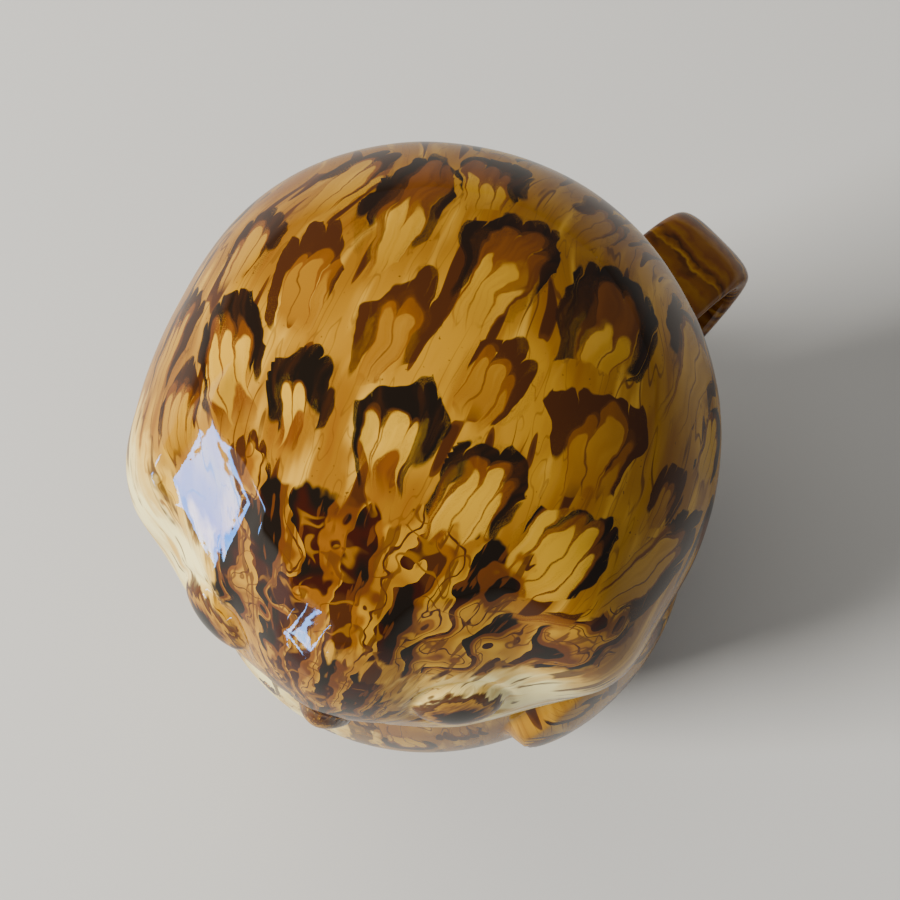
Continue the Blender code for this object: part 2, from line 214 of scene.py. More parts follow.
def finished_object(name: str, mesh: Mesh) -> Piece:
    """Turn a mesh into a smooth-shaded object at the origin.

    Args:
        name: The object's name.
        mesh: The mesh, which is used up.

    Returns:
        The object, in the scene.
    """
    data = bpy.data.meshes.new(name)
    mesh.to_mesh(data)
    mesh.free()
    data.shade_smooth()
    piece = bpy.data.objects.new(name, data)
    bpy.context.scene.collection.objects.link(piece)
    return piece


def fuse(piece: Piece, extras: list[Piece]) -> None:
    """Fuse closed shapes into a piece, as one fired solid.

    Args:
        piece: The piece that takes the shapes in.
        extras: The shapes, which are used up.
    """
    for extra in extras:
        union = piece.modifiers.new("fuse", "BOOLEAN")
        union.operation = "UNION"
        union.solver = "MANIFOLD"
        union.object = extra
    graph = bpy.context.evaluated_depsgraph_get()
    joined = bpy.data.meshes.new_from_object(piece.evaluated_get(graph))
    joined.materials.clear()
    piece.modifiers.clear()
    piece.data = joined
    for extra in extras:
        bpy.data.objects.remove(extra, do_unlink=True)


def write_attribute(piece: Piece, name: str, values: np.ndarray, domain: str = "POINT") -> None:
    """Store one number or one vector for each vertex or face corner of a piece.

    Args:
        piece: The piece that carries the values.
        name: The attribute's name.
        values: The numbers, or the vectors as rows.
        domain: POINT for vertices and CORNER for face corners.
    """
    kind, field = ("FLOAT_VECTOR", "vector") if values.ndim == 2 else ("FLOAT", "value")
    layer = piece.data.attributes.new(name, kind, domain)
    layer.data.foreach_set(field, values.astype(np.float32).ravel())


def mesh_values(items: bpy.types.bpy_prop_collection, name: str, width: int = 1) -> np.ndarray:
    """Return what a mesh's vertices, face corners or faces hold.

    Args:
        items: The vertices, face corners or faces.
        name: The value's name.
        width: 3 for a vector and 1 for a whole number.

    Returns:
        One row or whole number for each item.
    """
    values = np.empty(len(items) * width, np.int32 if width == 1 else np.float32)
    items.foreach_get(name, values)
    return values if width == 1 else values.reshape(-1, width).astype(float)


@dataclass(frozen=True)
class Mark:
    """A feather mark of the head, with its root and tip in degrees from the beak and above the cheeks."""

    root: Pair
    tip: Pair
    width: float
    kind: FeatherKind


CROWN_MARKS = tuple(Mark(root, tip, width, FeatherKind[kind]) for root, tip, width, kind in (
    ((-130, 74), (-162, 44), 0.0137, "CAPPED"),
    ((142, 81), (165, 54), 0.0140, "CAPPED"),
    ((153, 52), (156, 29), 0.0090, "BROWN"),
    ((104, 61), (140, 46), 0.0172, "CAPPED"),
    ((100, 40), (128, 22), 0.0180, "SLIM"),
    ((68, 54), (106, 57), 0.0190, "BROWN"),
    ((43, 46), (73, 49), 0.0157, "FINGERED"),
    ((24, 57), (65, 69), 0.0125, "FINGERED"),
    ((5, 67), (3, 86), 0.0130, "ROOTED"),
    ((57, 77), (121, 73), 0.0112, "BROWN"),
    ((-42, 81), (-159, 75), 0.0113, "BROWN"),
    ((-81, 67), (-126, 58), 0.0125, "BROWN"),
    ((-38, 63), (-71, 72), 0.0112, "ROOTED"),
    ((-54, 56), (-93, 51), 0.0134, "FINGERED"),
    ((-96, 50), (-118, 43), 0.0125, "SLIM"),
    ((-126, 53), (-151, 38), 0.0118, "SLIM"),
    ((-54, 40), (-74, 45), 0.0110, "SLIM"),
    ((-68, 33), (-95, 38), 0.0120, "SLIM"),
    ((-24, 45), (-48, 58), 0.0080, "BROWN"),
    ((57, 36), (86, 22), 0.0130, "SLIM"),
    ((37, 39), (59, 28), 0.0120, "BROWN"),
    ((78, 36), (94, 36), 0.0080, "BROWN"),
    ((93, 27), (111, 20), 0.0115, "FINGERED"),
))


@dataclass
class Feather:
    """A feather mark on a piece: its middle, the way from root to tip, its size and its look."""

    middle: Vector
    run: Vector
    length: float
    width: float
    look: FeatherLook
    chance: float


def lay_feathers(piece: Piece, feathers: list[Feather]) -> None:
    """Give each face the feather that it lies in, and each face corner its place in that feather.

    Args:
        piece: The piece whose skin is marked.
        feathers: The marks, none of which reach far over another.
    """
    data = piece.data
    points, centres = mesh_values(data.vertices, "co", 3), mesh_values(data.polygons, "center", 3)
    corner_vertex = mesh_values(data.loops, "vertex_index")
    face_size = mesh_values(data.polygons, "loop_total")
    tree = BVHTree.FromPolygons([tuple(spot) for spot in points],
                                [tuple(face.vertices) for face in data.polygons])
    nearest, second = np.full(len(centres), FAR), np.full(len(centres), FAR)
    owner, other = np.zeros(len(centres), np.int32), np.zeros(len(centres), np.int32)
    table = []
    for number, feather in enumerate(feathers):
        place, normal = tree.find_nearest(feather.middle)[:2]
        run = (feather.run - normal * feather.run.dot(normal)).normalized()
        look = feather.look
        table.append((*place, *run.cross(normal), *run, feather.width, feather.length, feather.chance,
                      look.dark, look.cap, look.brown, look.root, look.pale))
        score = (feather_reach(centres, np.array([table[-1]])) ** 2).sum(axis=1)
        closer, runner_up = score < nearest, score < second
        other = np.where(closer, owner, np.where(runner_up, number, other))
        second = np.where(closer, nearest, np.where(runner_up, score, second))
        owner, nearest = np.where(closer, number, owner), np.where(closer, score, nearest)
    corner_face = np.repeat(np.arange(len(face_size)), face_size)
    rows, next_rows = np.array(table)[owner[corner_face]], np.array(table)[other[corner_face]]
    reach, next_reach = (feather_reach(points[corner_vertex], found) for found in (rows, next_rows))
    place = np.stack([reach[:, 0] * MARK_WIDTH, reach[:, 1] + 0.5, rows[:, CHANCE]], axis=1)
    edge = (next_reach ** 2).sum(axis=1) - (reach ** 2).sum(axis=1)
    for name, values in (("place", place), ("look", rows[:, LOOK]), ("root", rows[:, ROOT]), ("edge", edge)):
        write_attribute(piece, "feather_" + name, values, "CORNER")


def feather_reach(places: np.ndarray, rows: np.ndarray) -> np.ndarray:
    """Return how far places lie from the middles of their feathers.

    Args:
        places: The places, one row each.
        rows: A row of the table of marks for each place, or one row for all.

    Returns:
        For each place, how far it lies across and along its feather, in widths and lengths of it.
    """
    offset = places - rows[:, MIDDLE]
    flat = np.stack([(offset * rows[:, SIDE]).sum(axis=1), (offset * rows[:, RUN]).sum(axis=1)], axis=1)
    stretch = np.linalg.norm(offset, axis=1) / np.maximum(np.linalg.norm(flat, axis=1), 1e-6)
    return flat * stretch[:, None] / rows[:, SIZE]


@dataclass(frozen=True)
class Facet:
    """A spot of the face that is pressed flat, and the pixels between which it mirrors the window."""

    corners: tuple[Pair, ...]
    seen: tuple[Pair, ...]
    fade: float


WINDOW_FACET = Facet(corners=((-59, 53), (-33, 49), (-29, 26), (-50, 34)),
                     seen=((215, 412), (240, 505), (215, 573), (173, 490)), fade=0.0045)
BEAK_FACET = Facet(corners=((-6, 44), (0, 41), (-3, 29), (-9, 33)), fade=0.0025,
                   seen=((286, 635), (300, 623), (318, 607), (323, 609), (308, 629), (306, 642), (302, 655)))


@dataclass
class HeadForm:
    """The head that lifts off: a hollow dome with a pinched beak and two pressed face discs."""

    base: float
    radius: float = 0.050
    wall: float = 0.0045
    rim_radius: float = 0.0455
    cheek_height: float = 0.0405
    dome_height: float = 0.0485
    rim_rounding: float = 0.0012
    turn: float = math.radians(27.5)
    ruff_angle: float = math.radians(58)
    ruff_spread: float = math.radians(11)
    ruff_proud: float = 0.047
    ruff_lean: float = 0.012
    disc_inner: float = math.radians(7)
    disc_outer: float = math.radians(54)
    disc_slope: float = math.radians(15)
    disc_depth: float = 0.066
    beak_tip_spread: float = math.radians(4.5)
    beak_root_spread: float = math.radians(9)
    beak_proud: float = 0.022
    side_flat_angle: float = math.radians(-95)
    side_flat_spread: float = math.radians(24)
    side_flat_depth: float = 0.048
    ruff_levels: Levels = (-0.75, -0.30, 0.60, 0.88)
    disc_levels: Levels = (-0.30, 0.42, 0.60, 0.84)
    beak_levels: Levels = (-0.16, 0.02, 0.55, 0.92)
    side_levels: Levels = (-0.70, -0.30, 0.40, 0.90)
    wall_follows: float = 0.6
    crowding: float = 0.38
    columns: int = 320
    cheek_rows: int = 60
    dome_rows: int = 120
    inner_rows: int = 14
    inner_cheek_shares: Levels = (0.8, 0.6, 0.4, 0.2)
    unevenness: float = 0.00045
    uneven_scales: Pair = (42.0, 110.0)
    uneven_fine: float = 0.3
    plain_behind: float = math.radians(100)
    plain_above: float = math.radians(80)
    eye_angle: float = math.radians(27)
    eye_lift: float = math.radians(8)
    eye_size: Pair = (0.0150, 0.0160)
    eye_proud: float = 0.0016
    eye_roundness: float = 0.55
    eye_groove: float = 0.0005
    eye_groove_place: Pair = (1.16, 0.14)
    beak_lift: float = math.radians(-9)
    beak_size: Pair = (0.0095, 0.0230)
    beak_nub: float = 0.0026
    beak_roundness: float = 0.6
    facets: tuple[Facet, ...] = (WINDOW_FACET, BEAK_FACET)
    flow_lift: float = -7.0
    flow_reach: float = 0.35
    flow_fall: float = 5.5
    turn_down: Pair = (math.radians(112), math.radians(150))
    fall_behind: float = 2.0
    feather_gap: float = 0.0150
    feather_seed: int = 7
    feather_step: int = 5
    feather_lifts: tuple[int, int] = (-70, 80)
    feather_jitter: Pair = (4, 3)
    feather_length: Pair = (0.0165, 0.0210)
    feather_width: Pair = (0.0115, 0.0145)
    mark_stretch: Pair = (1.22, 1.15)
    bare_face: Pair = (66, 52)
    marks: tuple[Mark, ...] = CROWN_MARKS
    kinds: tuple[FeatherKind, ...] = SCATTERED_KINDS
    patch_edge: float = 12.0
    patch_top: float = 60
    cream_patches: Patches = ((-46, 22, 22, 13, 10), (-42, -6, 22, 26, 0),
                              (35, 13, 20, 12, -22), (42, -10, 22, 22, 0))
    swirl_patches: Patches = ((4, 49, 28, 14, 0), (-18, 36, 12, 14, 0),
                              (1, 10, 12, 24, 0), (32, 33, 30, 8, -16))
    face_patches: Patches = ((0, 18, 40, 28, 0), (0, -20, 44, 40, 0))

    @property
    def centre(self) -> Vector:
        """The middle of the dome, where the head is widest."""
        return Vector((0.0, 0.0, self.base + self.cheek_height))

    def cheek_radius(self, share: float) -> float:
        """Return the radius a share of the way from the rim to the widest level."""
        return mix(self.rim_radius, self.radius, math.sin(share * math.pi / 2))

    def point(self, angle: float, lift: float) -> Vector:
        """Return a point of the plain dome where the head rests.

        Args:
            angle: The angle from the beak.
            lift: The lift above the cheeks.

        Returns:
            The point.
        """
        radius = self.radius * math.cos(lift)
        height = self.dome_height * math.sin(lift)
        if lift < 0:
            height = self.cheek_height * math.sin(lift)
            radius = self.cheek_radius(1.0 + height / self.cheek_height)
        turned = angle + self.turn
        return self.centre + Vector((radius * math.sin(turned), -radius * math.cos(turned), height))

    def relief(self, angle: float, level: float) -> float:
        """Return the carving of the face as a share of the radius.

        Args:
            angle: The angle from the beak, positive towards the owl's left.
            level: 0 where the head is widest and 1 at the crown.

        Returns:
            How far the skin stands out, as a share of its radius.
        """
        size = abs(angle)
        proud = self.ruff_proud + math.copysign(self.ruff_lean, angle)
        ruff = proud * bump(size, self.ruff_angle, self.ruff_spread) * window(self.ruff_levels, level)
        inner = ramp(self.disc_inner, self.disc_inner + self.disc_slope, size)
        outer = 1.0 - ramp(self.disc_outer - self.disc_slope, self.disc_outer, size)
        disc = self.disc_depth * inner * outer * window(self.disc_levels, level)
        root_share = ramp(self.beak_levels[1], self.beak_levels[2], level)
        spread = mix(self.beak_tip_spread, self.beak_root_spread, root_share)
        beak = self.beak_proud * bump(size, 0.0, spread) * window(self.beak_levels, level)
        flat = self.side_flat_depth * bump(angle, self.side_flat_angle, self.side_flat_spread)
        return ruff - disc + beak - flat * window(self.side_levels, level)

    def carve(self, points: Iterable[bmesh.types.BMVert], strength: float) -> None:
        """Press the face into a skin of the head, which stands on Z 0 with its beak at -Y.

        Args:
            points: The skin's vertices.
            strength: 1 for the outside, and the share of the carving that the hollow follows.
        """
        outside = strength == 1.0
        for point in points:
            radius = math.hypot(point.co.x, point.co.y)
            if radius < self.radius / 1000:
                continue
            level = (point.co.z - self.cheek_height) / self.dome_height
            angle = math.atan2(point.co.x, -point.co.y)
            angle -= self.crowding * math.sin(angle) * ramp(self.ruff_levels[0], self.ruff_levels[1], level)
            radius *= 1.0 + self.relief(angle, level) * strength
            if outside:
                radius += self.handwork(angle, math.asin(min(max(level, -1.0), 1.0)), point.co)
            point.co.x = radius * math.sin(angle)
            point.co.y = -radius * math.cos(angle)
        for facet in self.facets if outside else ():
            self.flatten(points, facet)

    def carved_point(self, angle: float, lift: float) -> Vector:
        """Return a point of the carved skin, on the unturned head at Z 0.

        Args:
            angle: The angle from the beak, in degrees.
            lift: The lift above the cheeks, in degrees.

        Returns:
            The point.
        """
        turn, level = math.radians(angle), math.sin(math.radians(lift))
        radius = self.radius * math.cos(math.radians(lift)) * (1.0 + self.relief(turn, level))
        height = self.cheek_height + self.dome_height * level
        return Vector((radius * math.sin(turn), -radius * math.cos(turn), height))

    def facet_plane(self, facet: Facet) -> tuple[Vector, Vector, list[Vector]]:
        """Return a facet's plane, on the unturned head at Z 0.

        Args:
            facet: The facet.

        Returns:
            The middle of the plane, its outward normal and the facet's corners on the carved skin.
        """
        corners = [self.carved_point(*corner) for corner in facet.corners]
        normal = (corners[1] - corners[3]).cross(corners[0] - corners[2]).normalized()
        return sum(corners, Vector()) / len(corners), normal, corners

    def facet_in_place(self, facet: Facet) -> tuple[Vector, Vector]:
        """Return a facet's plane where the head rests.

        Args:
            facet: The facet.

        Returns:
            The middle of the plane and its outward normal.
        """
        middle, normal, _ = self.facet_plane(facet)
        turn = Matrix.Rotation(self.turn, 3, "Z")
        return turn @ middle + Vector((0.0, 0.0, self.base)), turn @ normal

    def flatten(self, points: Iterable[bmesh.types.BMVert], facet: Facet) -> None:
        """Press the skin flat between a facet's corners, fading out around it.

        Args:
            points: The skin's vertices.
            facet: The facet.
        """
        middle, normal, corners = self.facet_plane(facet)
        inward = [normal.cross(corners[index - 1] - corner).normalized()
                  for index, corner in enumerate(corners)]
        for point in points:
            height = (point.co - middle).dot(normal)
            if abs(height) > 2 * facet.fade:
                continue
            depth = min((point.co - corner).dot(way) for corner, way in zip(corners, inward))
            point.co -= normal * height * ramp(-facet.fade, 0.0, depth)

    def handwork(self, angle: float, lift: float, spot: Vector) -> float:
        """Return how far the eyes, the beak and the hand's unevenness move the skin.

        Args:
            angle: The angle from the beak.
            lift: The lift above the cheeks.
            spot: The place on the plain dome, which fixes the unevenness.

        Returns:
            How far the skin moves outwards, in metres.
        """
        coarse, fine = (noise.noise(spot * scale) * self.unevenness for scale in self.uneven_scales)
        proud = coarse + fine * self.uneven_fine
        if abs(angle) > self.plain_behind or lift > self.plain_above:
            return proud
        for side in (-1, 1):
            away = self.oval(angle, lift, side * self.eye_angle, self.eye_lift, self.eye_size)
            proud += (self.eye_proud * max(1.0 - away * away, 0.0) ** self.eye_roundness
                      - self.eye_groove * bump(away, *self.eye_groove_place))
        away = self.oval(angle, lift, 0.0, self.beak_lift, self.beak_size)
        return proud + self.beak_nub * max(1.0 - away * away, 0.0) ** self.beak_roundness

    def oval(self, angle: float, lift: float, middle: float, level: float, size: Pair) -> float:
        """Return how far a place lies from an oval's middle, 1 at its edge."""
        across = (angle - middle) * self.radius * math.cos(lift) / (size[0] / 2)
        return math.hypot(across, (lift - level) * self.dome_height / (size[1] / 2))

    def face_places(self, points: np.ndarray) -> tuple[np.ndarray, np.ndarray, np.ndarray]:
        """Return where points of the head lie on its dome.

        Args:
            points: The points, one row each.

        Returns:
            Their angles from the beak and lifts above the cheeks, in degrees, and their radii.
        """
        offset = points - np.array(self.centre)
        angle = np.arctan2(offset[:, 0], -offset[:, 1]) - self.turn
        angle = (angle + np.pi) % (2 * np.pi) - np.pi
        radius = np.hypot(offset[:, 0], offset[:, 1])
        above = np.arctan2(offset[:, 2] / self.dome_height, radius / self.radius)
        below = np.arcsin(np.clip(offset[:, 2] / self.cheek_height, -1.0, 0.0))
        return np.degrees(angle), np.degrees(np.where(offset[:, 2] > 0, above, below)), radius

    def zone(self, angle: np.ndarray, lift: np.ndarray, patches: Patches) -> np.ndarray:
        """Return how deep each place lies in a group of oval patches, from 0 outside to 1 well inside.

        Args:
            angle: The places' angles from the beak.
            lift: Their lifts above the cheeks.
            patches: For each patch, its angle and lift, half its width and height, and its lean, in degrees.

        Returns:
            One value for each place, 0.5 at a patch's edge.
        """
        depth = np.zeros(len(angle))
        for middle, level, wide, tall, lean in patches:
            across = (angle - middle) * np.cos(np.radians(np.clip(lift, -self.patch_top, self.patch_top)))
            up = lift - level
            lean_cos, lean_sin = math.cos(math.radians(lean)), math.sin(math.radians(lean))
            size = np.hypot((across * lean_cos + up * lean_sin) / wide,
                            (up * lean_cos - across * lean_sin) / tall)
            soft = 0.5 + (1.0 - size) * min(wide, tall) / self.patch_edge
            depth = np.maximum(depth, np.clip(soft, 0.0, 1.0))
        return depth

    def flow(self, turned: np.ndarray, raised: np.ndarray) -> np.ndarray:
        """Return the flow of the clays, which run from the beak over the crown and fall behind.

        Args:
            turned: The places' angles from the beak.
            raised: Their lifts above the cheeks.

        Returns:
            For each place, two numbers that change across the flow and one that changes along it.
        """
        way = np.stack([np.cos(raised) * np.sin(turned), -np.cos(raised) * np.cos(turned),
                        np.sin(raised)], axis=1)
        pole = math.radians(self.flow_lift)
        ahead = np.array([0.0, -math.cos(pole), math.sin(pole)])
        over = np.array([0.0, math.sin(pole), math.cos(pole)])
        spin = np.arctan2(way[:, 0], way @ over)
        fall = np.arccos(np.clip(way @ ahead, -1.0, 1.0))
        spread = FLOW_RING * np.tanh(fall / self.flow_reach)
        from_beak = np.stack([np.cos(spin) * spread, np.sin(spin) * spread, fall * self.flow_fall], axis=1)
        downwards = np.stack([-np.cos(turned) * FLOW_RING, np.sin(turned) * FLOW_RING,
                              (np.pi - raised) * self.flow_fall], axis=1)
        behind = smooth_step(*self.turn_down, fall)[:, None]
        return from_beak * (1.0 - behind) + downwards * behind

    def hollow(self, above: np.ndarray, radius: np.ndarray) -> np.ndarray:
        """Return which points of the head are in its hollow.

        Args:
            above: The points' heights above the widest level.
            radius: Their radii.

        Returns:
            True for each point of the hollow's skin.
        """
        dome = np.hypot(radius / (self.radius - self.wall * 0.9),
                        above / (self.dome_height - self.wall * 0.5)) < 1.0
        bend = np.sin((1 + above / self.cheek_height) * np.pi / 2)
        cheek = self.rim_radius + (self.radius - self.rim_radius) * bend
        return np.where(above > 0, dome, radius < cheek - self.wall * 0.7)

    def dress(self, piece: Piece) -> None:
        """Give the head's skin the attributes that its clays follow.

        Args:
            piece: The built head.
        """
        points = mesh_values(piece.data.vertices, "co", 3)
        angle, lift, radius = self.face_places(points)
        turned, raised = np.radians(angle), np.radians(lift)
        write_attribute(piece, "flow", self.flow(turned, raised))
        above = points[:, 2] - self.base - self.cheek_height
        write_attribute(piece, "inside", self.hollow(above, radius).astype(float))
        write_attribute(piece, "cream", self.zone(angle, lift, self.cream_patches))
        write_attribute(piece, "swirl", self.zone(angle, lift, self.swirl_patches))
        eyes = ((self.eye_angle, self.eye_lift), (-self.eye_angle, self.eye_lift))
        beak = ((0.0, self.beak_lift),)
        for name, size, places in (("eye", self.eye_size, eyes), ("beak", self.beak_size, beak)):
            away = [np.hypot((turned - middle) * self.radius * 2 / size[0],
                             (raised - level) * self.dome_height * 2 / size[1]) for middle, level in places]
            write_attribute(piece, name, np.clip(1.5 - np.min(away, axis=0), 0.0, 1.5))
        write_attribute(piece, "no_feather", self.zone(angle, lift, self.face_patches))
        lay_feathers(piece, self.feathers())

    def feathers(self) -> list[Feather]:
        """Return the head's feather marks.

        Returns:
            The large marks on the crown, then the ones that fill the rest.
        """
        dice = random.Random(self.feather_seed)
        longer, wider = self.mark_stretch
        found = []
        for mark in self.marks:
            root, tip = (self.point(math.radians(spot[0]), math.radians(spot[1]))
                         for spot in (mark.root, mark.tip))
            found.append(Feather((root + tip) / 2, tip - root, (tip - root).length * longer,
                                 mark.width * wider, mark.kind.value, dice.uniform(*CHANCES)))
        pole = self.point(0.0, math.radians(self.flow_lift)) - self.centre
        aside, upwards = self.feather_jitter
        for lift in range(*self.feather_lifts, self.feather_step):
            for angle in range(-180, 180, self.feather_step):
                spot_angle = angle + dice.uniform(-aside, aside)
                spot_lift = lift + dice.uniform(-upwards, upwards)
                place = self.point(math.radians(spot_angle), math.radians(spot_lift))
                near = min((place - other.middle).length for other in found)
                on_face = abs(spot_angle) < self.bare_face[0] and spot_lift < self.bare_face[1]
                if near < self.feather_gap or on_face:
                    continue
                outward = place - self.centre
                away = (outward.cross(pole)).cross(outward).normalized() * -1.0
                away.z -= self.fall_behind * ramp(*self.turn_down, outward.angle(pole))
                away.rotate(Matrix.Rotation(math.radians(dice.uniform(*LEANS)), 3, outward))
                found.append(Feather(place, away, dice.uniform(*self.feather_length),
                                     dice.uniform(*self.feather_width), dice.choice(self.kinds).value,
                                     dice.uniform(*CHANCES)))
        return found

    def outer_profile(self) -> Profile:
        """Return the outside, as radius and height pairs.

        Returns:
            The profile from the rounded rim to the crown.
        """
        side = []
        for row in range(1, self.cheek_rows):
            side.append((self.cheek_radius(row / self.cheek_rows), self.cheek_height * row / self.cheek_rows))
        rim = arc_corner((self.rim_radius - self.wall, 0.0), (self.rim_radius, 0.0), side[2],
                         self.rim_rounding)
        side = [point for point in side if point[1] > self.rim_rounding]
        for row in range(self.dome_rows):
            lift = math.pi / 2 * row / self.dome_rows
            side.append((self.radius * math.cos(lift), self.cheek_height + self.dome_height * math.sin(lift)))
        return rim + side + [(0.0, self.cheek_height + self.dome_height)]

    def inner_profile(self) -> Profile:
        """Return the hollow, as radius and height pairs.

        Returns:
            The profile from the crown down to the rounded rim.
        """
        points = [(0.0, self.cheek_height + self.dome_height - self.wall)]
        for row in range(1, self.inner_rows + 1):
            lift = math.pi / 2 * (1.0 - row / self.inner_rows)
            height = self.cheek_height + (self.dome_height - self.wall) * math.sin(lift)
            points.append(((self.radius - self.wall) * math.cos(lift), height))
        for share in self.inner_cheek_shares:
            points.append((self.cheek_radius(share) - self.wall, self.cheek_height * share))
        corner = (self.rim_radius - self.wall, 0.0)
        points += arc_corner(points[-1], corner, (self.rim_radius, 0.0), self.rim_rounding)
        return points + [self.outer_profile()[0]]

    def build(self) -> Piece:
        """Build the head, with its hollow, where it rests on the shoulder.

        Returns:
            The head, still without its clays.
        """
        mesh = bmesh.new()
        spin_profile(mesh, self.outer_profile(), self.columns)
        self.carve(mesh.verts, 1.0)
        hollow = bmesh.new()
        spin_profile(hollow, self.inner_profile(), self.columns)
        self.carve(hollow.verts, self.wall_follows)
        add_skin(mesh, hollow)
        close_and_face_out(mesh)
        place = Matrix.Translation((0.0, 0.0, self.base)) @ Matrix.Rotation(self.turn, 4, "Z")
        bmesh.ops.transform(mesh, matrix=place, verts=mesh.verts)
        return finished_object("owl_head", mesh)


@dataclass
class BodyForm:
    """The hollow body with its breast, wings, toes, collar and strap handle."""

    foot_radius: float = 0.041
    foot_height: float = 0.006
    foot_rounding: float = 0.0015
    belly_radius: float = 0.0527
    belly_height: float = 0.068
    shoulder_height: float = 0.1145
    shoulder_radius: float = 0.0461
    wall: float = 0.005
    floor: float = 0.007
    breast_swell: float = 0.0019
    breast_spread: float = math.radians(40)
    wing_proud: float = 0.0052
    wing_top: Pair = (math.radians(74), 0.104)
    wing_tip: Pair = (math.radians(156), 0.022)
    wing_half_width: float = 0.026
    wing_bluntness: float = 0.14
    wing_widest: float = 0.62
    wing_fullness: float = 0.75
    wing_side_power: int = 4
    wing_end_power: int = 8
    wing_edge_share: float = 0.42
    wing_edge: float = 0.0042
    toe_size: Triple = (0.0085, 0.021, 0.0080)
    toe_clearance: float = 0.0008
    toes_per_foot: int = 3
    toe_spacing: float = math.radians(11.8)
    toe_segments: tuple[int, int] = (28, 18)
    foot_angle: float = math.radians(22)
    strap_width: float = 0.0212
    strap_thickness: float = 0.0075
    strap_reach: float = 0.0865
    strap_top: float = 0.101
    strap_bottom: float = 0.045
    strap_rise: float = 0.0235
    strap_pulls: Triple = (0.064, 0.216, 0.72)
    strap_over: float = 0.62
    strap_out: float = 0.83
    strap_flare: float = 0.3
    strap_flare_length: float = 0.09
    strap_squareness: float = 3.2
    strap_rings: int = 60
    strap_sides: int = 40
    strap_measures: int = 200
    collar_radius: float = 0.0398
    collar_wall: float = 0.0045
    collar_height: float = 0.0135
    rim_rounding: float = 0.0012
    columns: int = 300
    rows: int = 130
    foot_rings: int = 10
    inner_rows: int = 24
    floor_steps: int = 4
    flow_drop: float = 110.0
    bare_levels: Pair = (1.0 * MM, 0.4 * MM)
    strap_clear: Pair = (-0.2 * MM, 1.6 * MM)
    toe_clear: Pair = (0.4 * MM, 1.4 * MM)
    feather_gap: float = 0.0150
    feather_seed: int = 11
    feather_heights: tuple[int, int, int] = (112, 8, -4)
    feather_turns: tuple[int, int, int] = (-180, 180, 6)
    feather_jitter: Pair = (3, 1.5)
    feather_length: Pair = (0.0150, 0.0195)
    feather_width: Pair = (0.0100, 0.0130)
    breast_feather: float = 0.5
    cream_middle: float = -6.0
    cream_half: float = 42.0
    cream_tall: float = 0.47
    cream_edge: float = 1.6
    kinds: tuple[FeatherKind, ...] = SCATTERED_KINDS

    def radius(self, height: float) -> float:
        """Return the radius of the plain turned body.

        Args:
            height: The height above the underside.

        Returns:
            The radius at that height.
        """
        if height <= self.foot_height:
            return self.foot_radius
        if height < self.belly_height:
            share = (height - self.foot_height) / (self.belly_height - self.foot_height)
            return mix(self.foot_radius, self.belly_radius, math.sin(share * math.pi / 2))
        share = min((height - self.belly_height) / (self.shoulder_height - self.belly_height), 1.0)
        return mix(self.shoulder_radius, self.belly_radius, math.cos(share * math.pi / 2))

    def swell(self, angle: float, height: float) -> float:
        """Return how far the breast stands out of the body.

        Args:
            angle: The angle from the front.
            height: The height above the underside.

        Returns:
            How far the skin stands out, in metres.
        """
        below = ramp(self.foot_height, self.belly_height, height)
        above = 1.0 - ramp(self.belly_height, self.shoulder_height, height)
        return self.breast_swell * bump(angle, 0.0, self.breast_spread) * below * above

    def wing_lift(self, angle: float, height: float) -> float:
        """Return how far a wing stands out of the body.

        Args:
            angle: The angle from the front.
            height: The height above the underside.

        Returns:
            How far the skin stands out, in metres, and 0 off the wings.
        """
        top = Vector((self.wing_top[0] * self.belly_radius, self.wing_top[1]))
        tip = Vector((self.wing_tip[0] * self.belly_radius, self.wing_tip[1]))
        run = tip - top
        spot = Vector((abs(angle) * self.belly_radius, height)) - top
        along = spot.dot(run) / run.length_squared
        if not 0.0 < along < 1.0:
            return 0.0
        leaf = math.sin(math.pi * along ** self.wing_widest) ** self.wing_fullness
        width = self.wing_half_width * mix(self.wing_bluntness, 1.0, leaf)
        across = spot.dot(Vector((-run.y, run.x)).normalized()) / width
        if abs(across) >= 1.0:
            return 0.0
        middle = math.sqrt((1.0 - across ** self.wing_side_power)
                           * (1.0 - (2.0 * along - 1.0) ** self.wing_end_power))
        inside = min((1.0 - abs(across)) * width, (0.5 - abs(along - 0.5)) * run.length)
        return self.wing_proud * mix(self.wing_edge_share, 1.0, middle) * ramp(0.0, self.wing_edge, inside)

    def point(self, angle: float, height: float) -> Vector:
        """Return the point of the outside at an angle from the front and a height."""
        radius = self.radius(height) + self.swell(angle, height) + self.wing_lift(angle, height)
        return Vector((radius * math.sin(angle), -radius * math.cos(angle), height))

    def outer_profile(self) -> Profile:
        """Return the outside, as radius and height pairs.

        Returns:
            The profile from the centre of the underside to the shoulder.
        """
        base = [(self.foot_radius * share / self.foot_rings, 0.0) for share in range(self.foot_rings)]
        foot = arc_corner((0.0, 0.0), (self.foot_radius, 0.0), (self.foot_radius, self.foot_height),
                          self.foot_rounding)
        heights = [mix(self.foot_height, self.shoulder_height, row / self.rows)
                   for row in range(self.rows + 1)]
        return base + foot + [(self.radius(height), height) for height in heights]

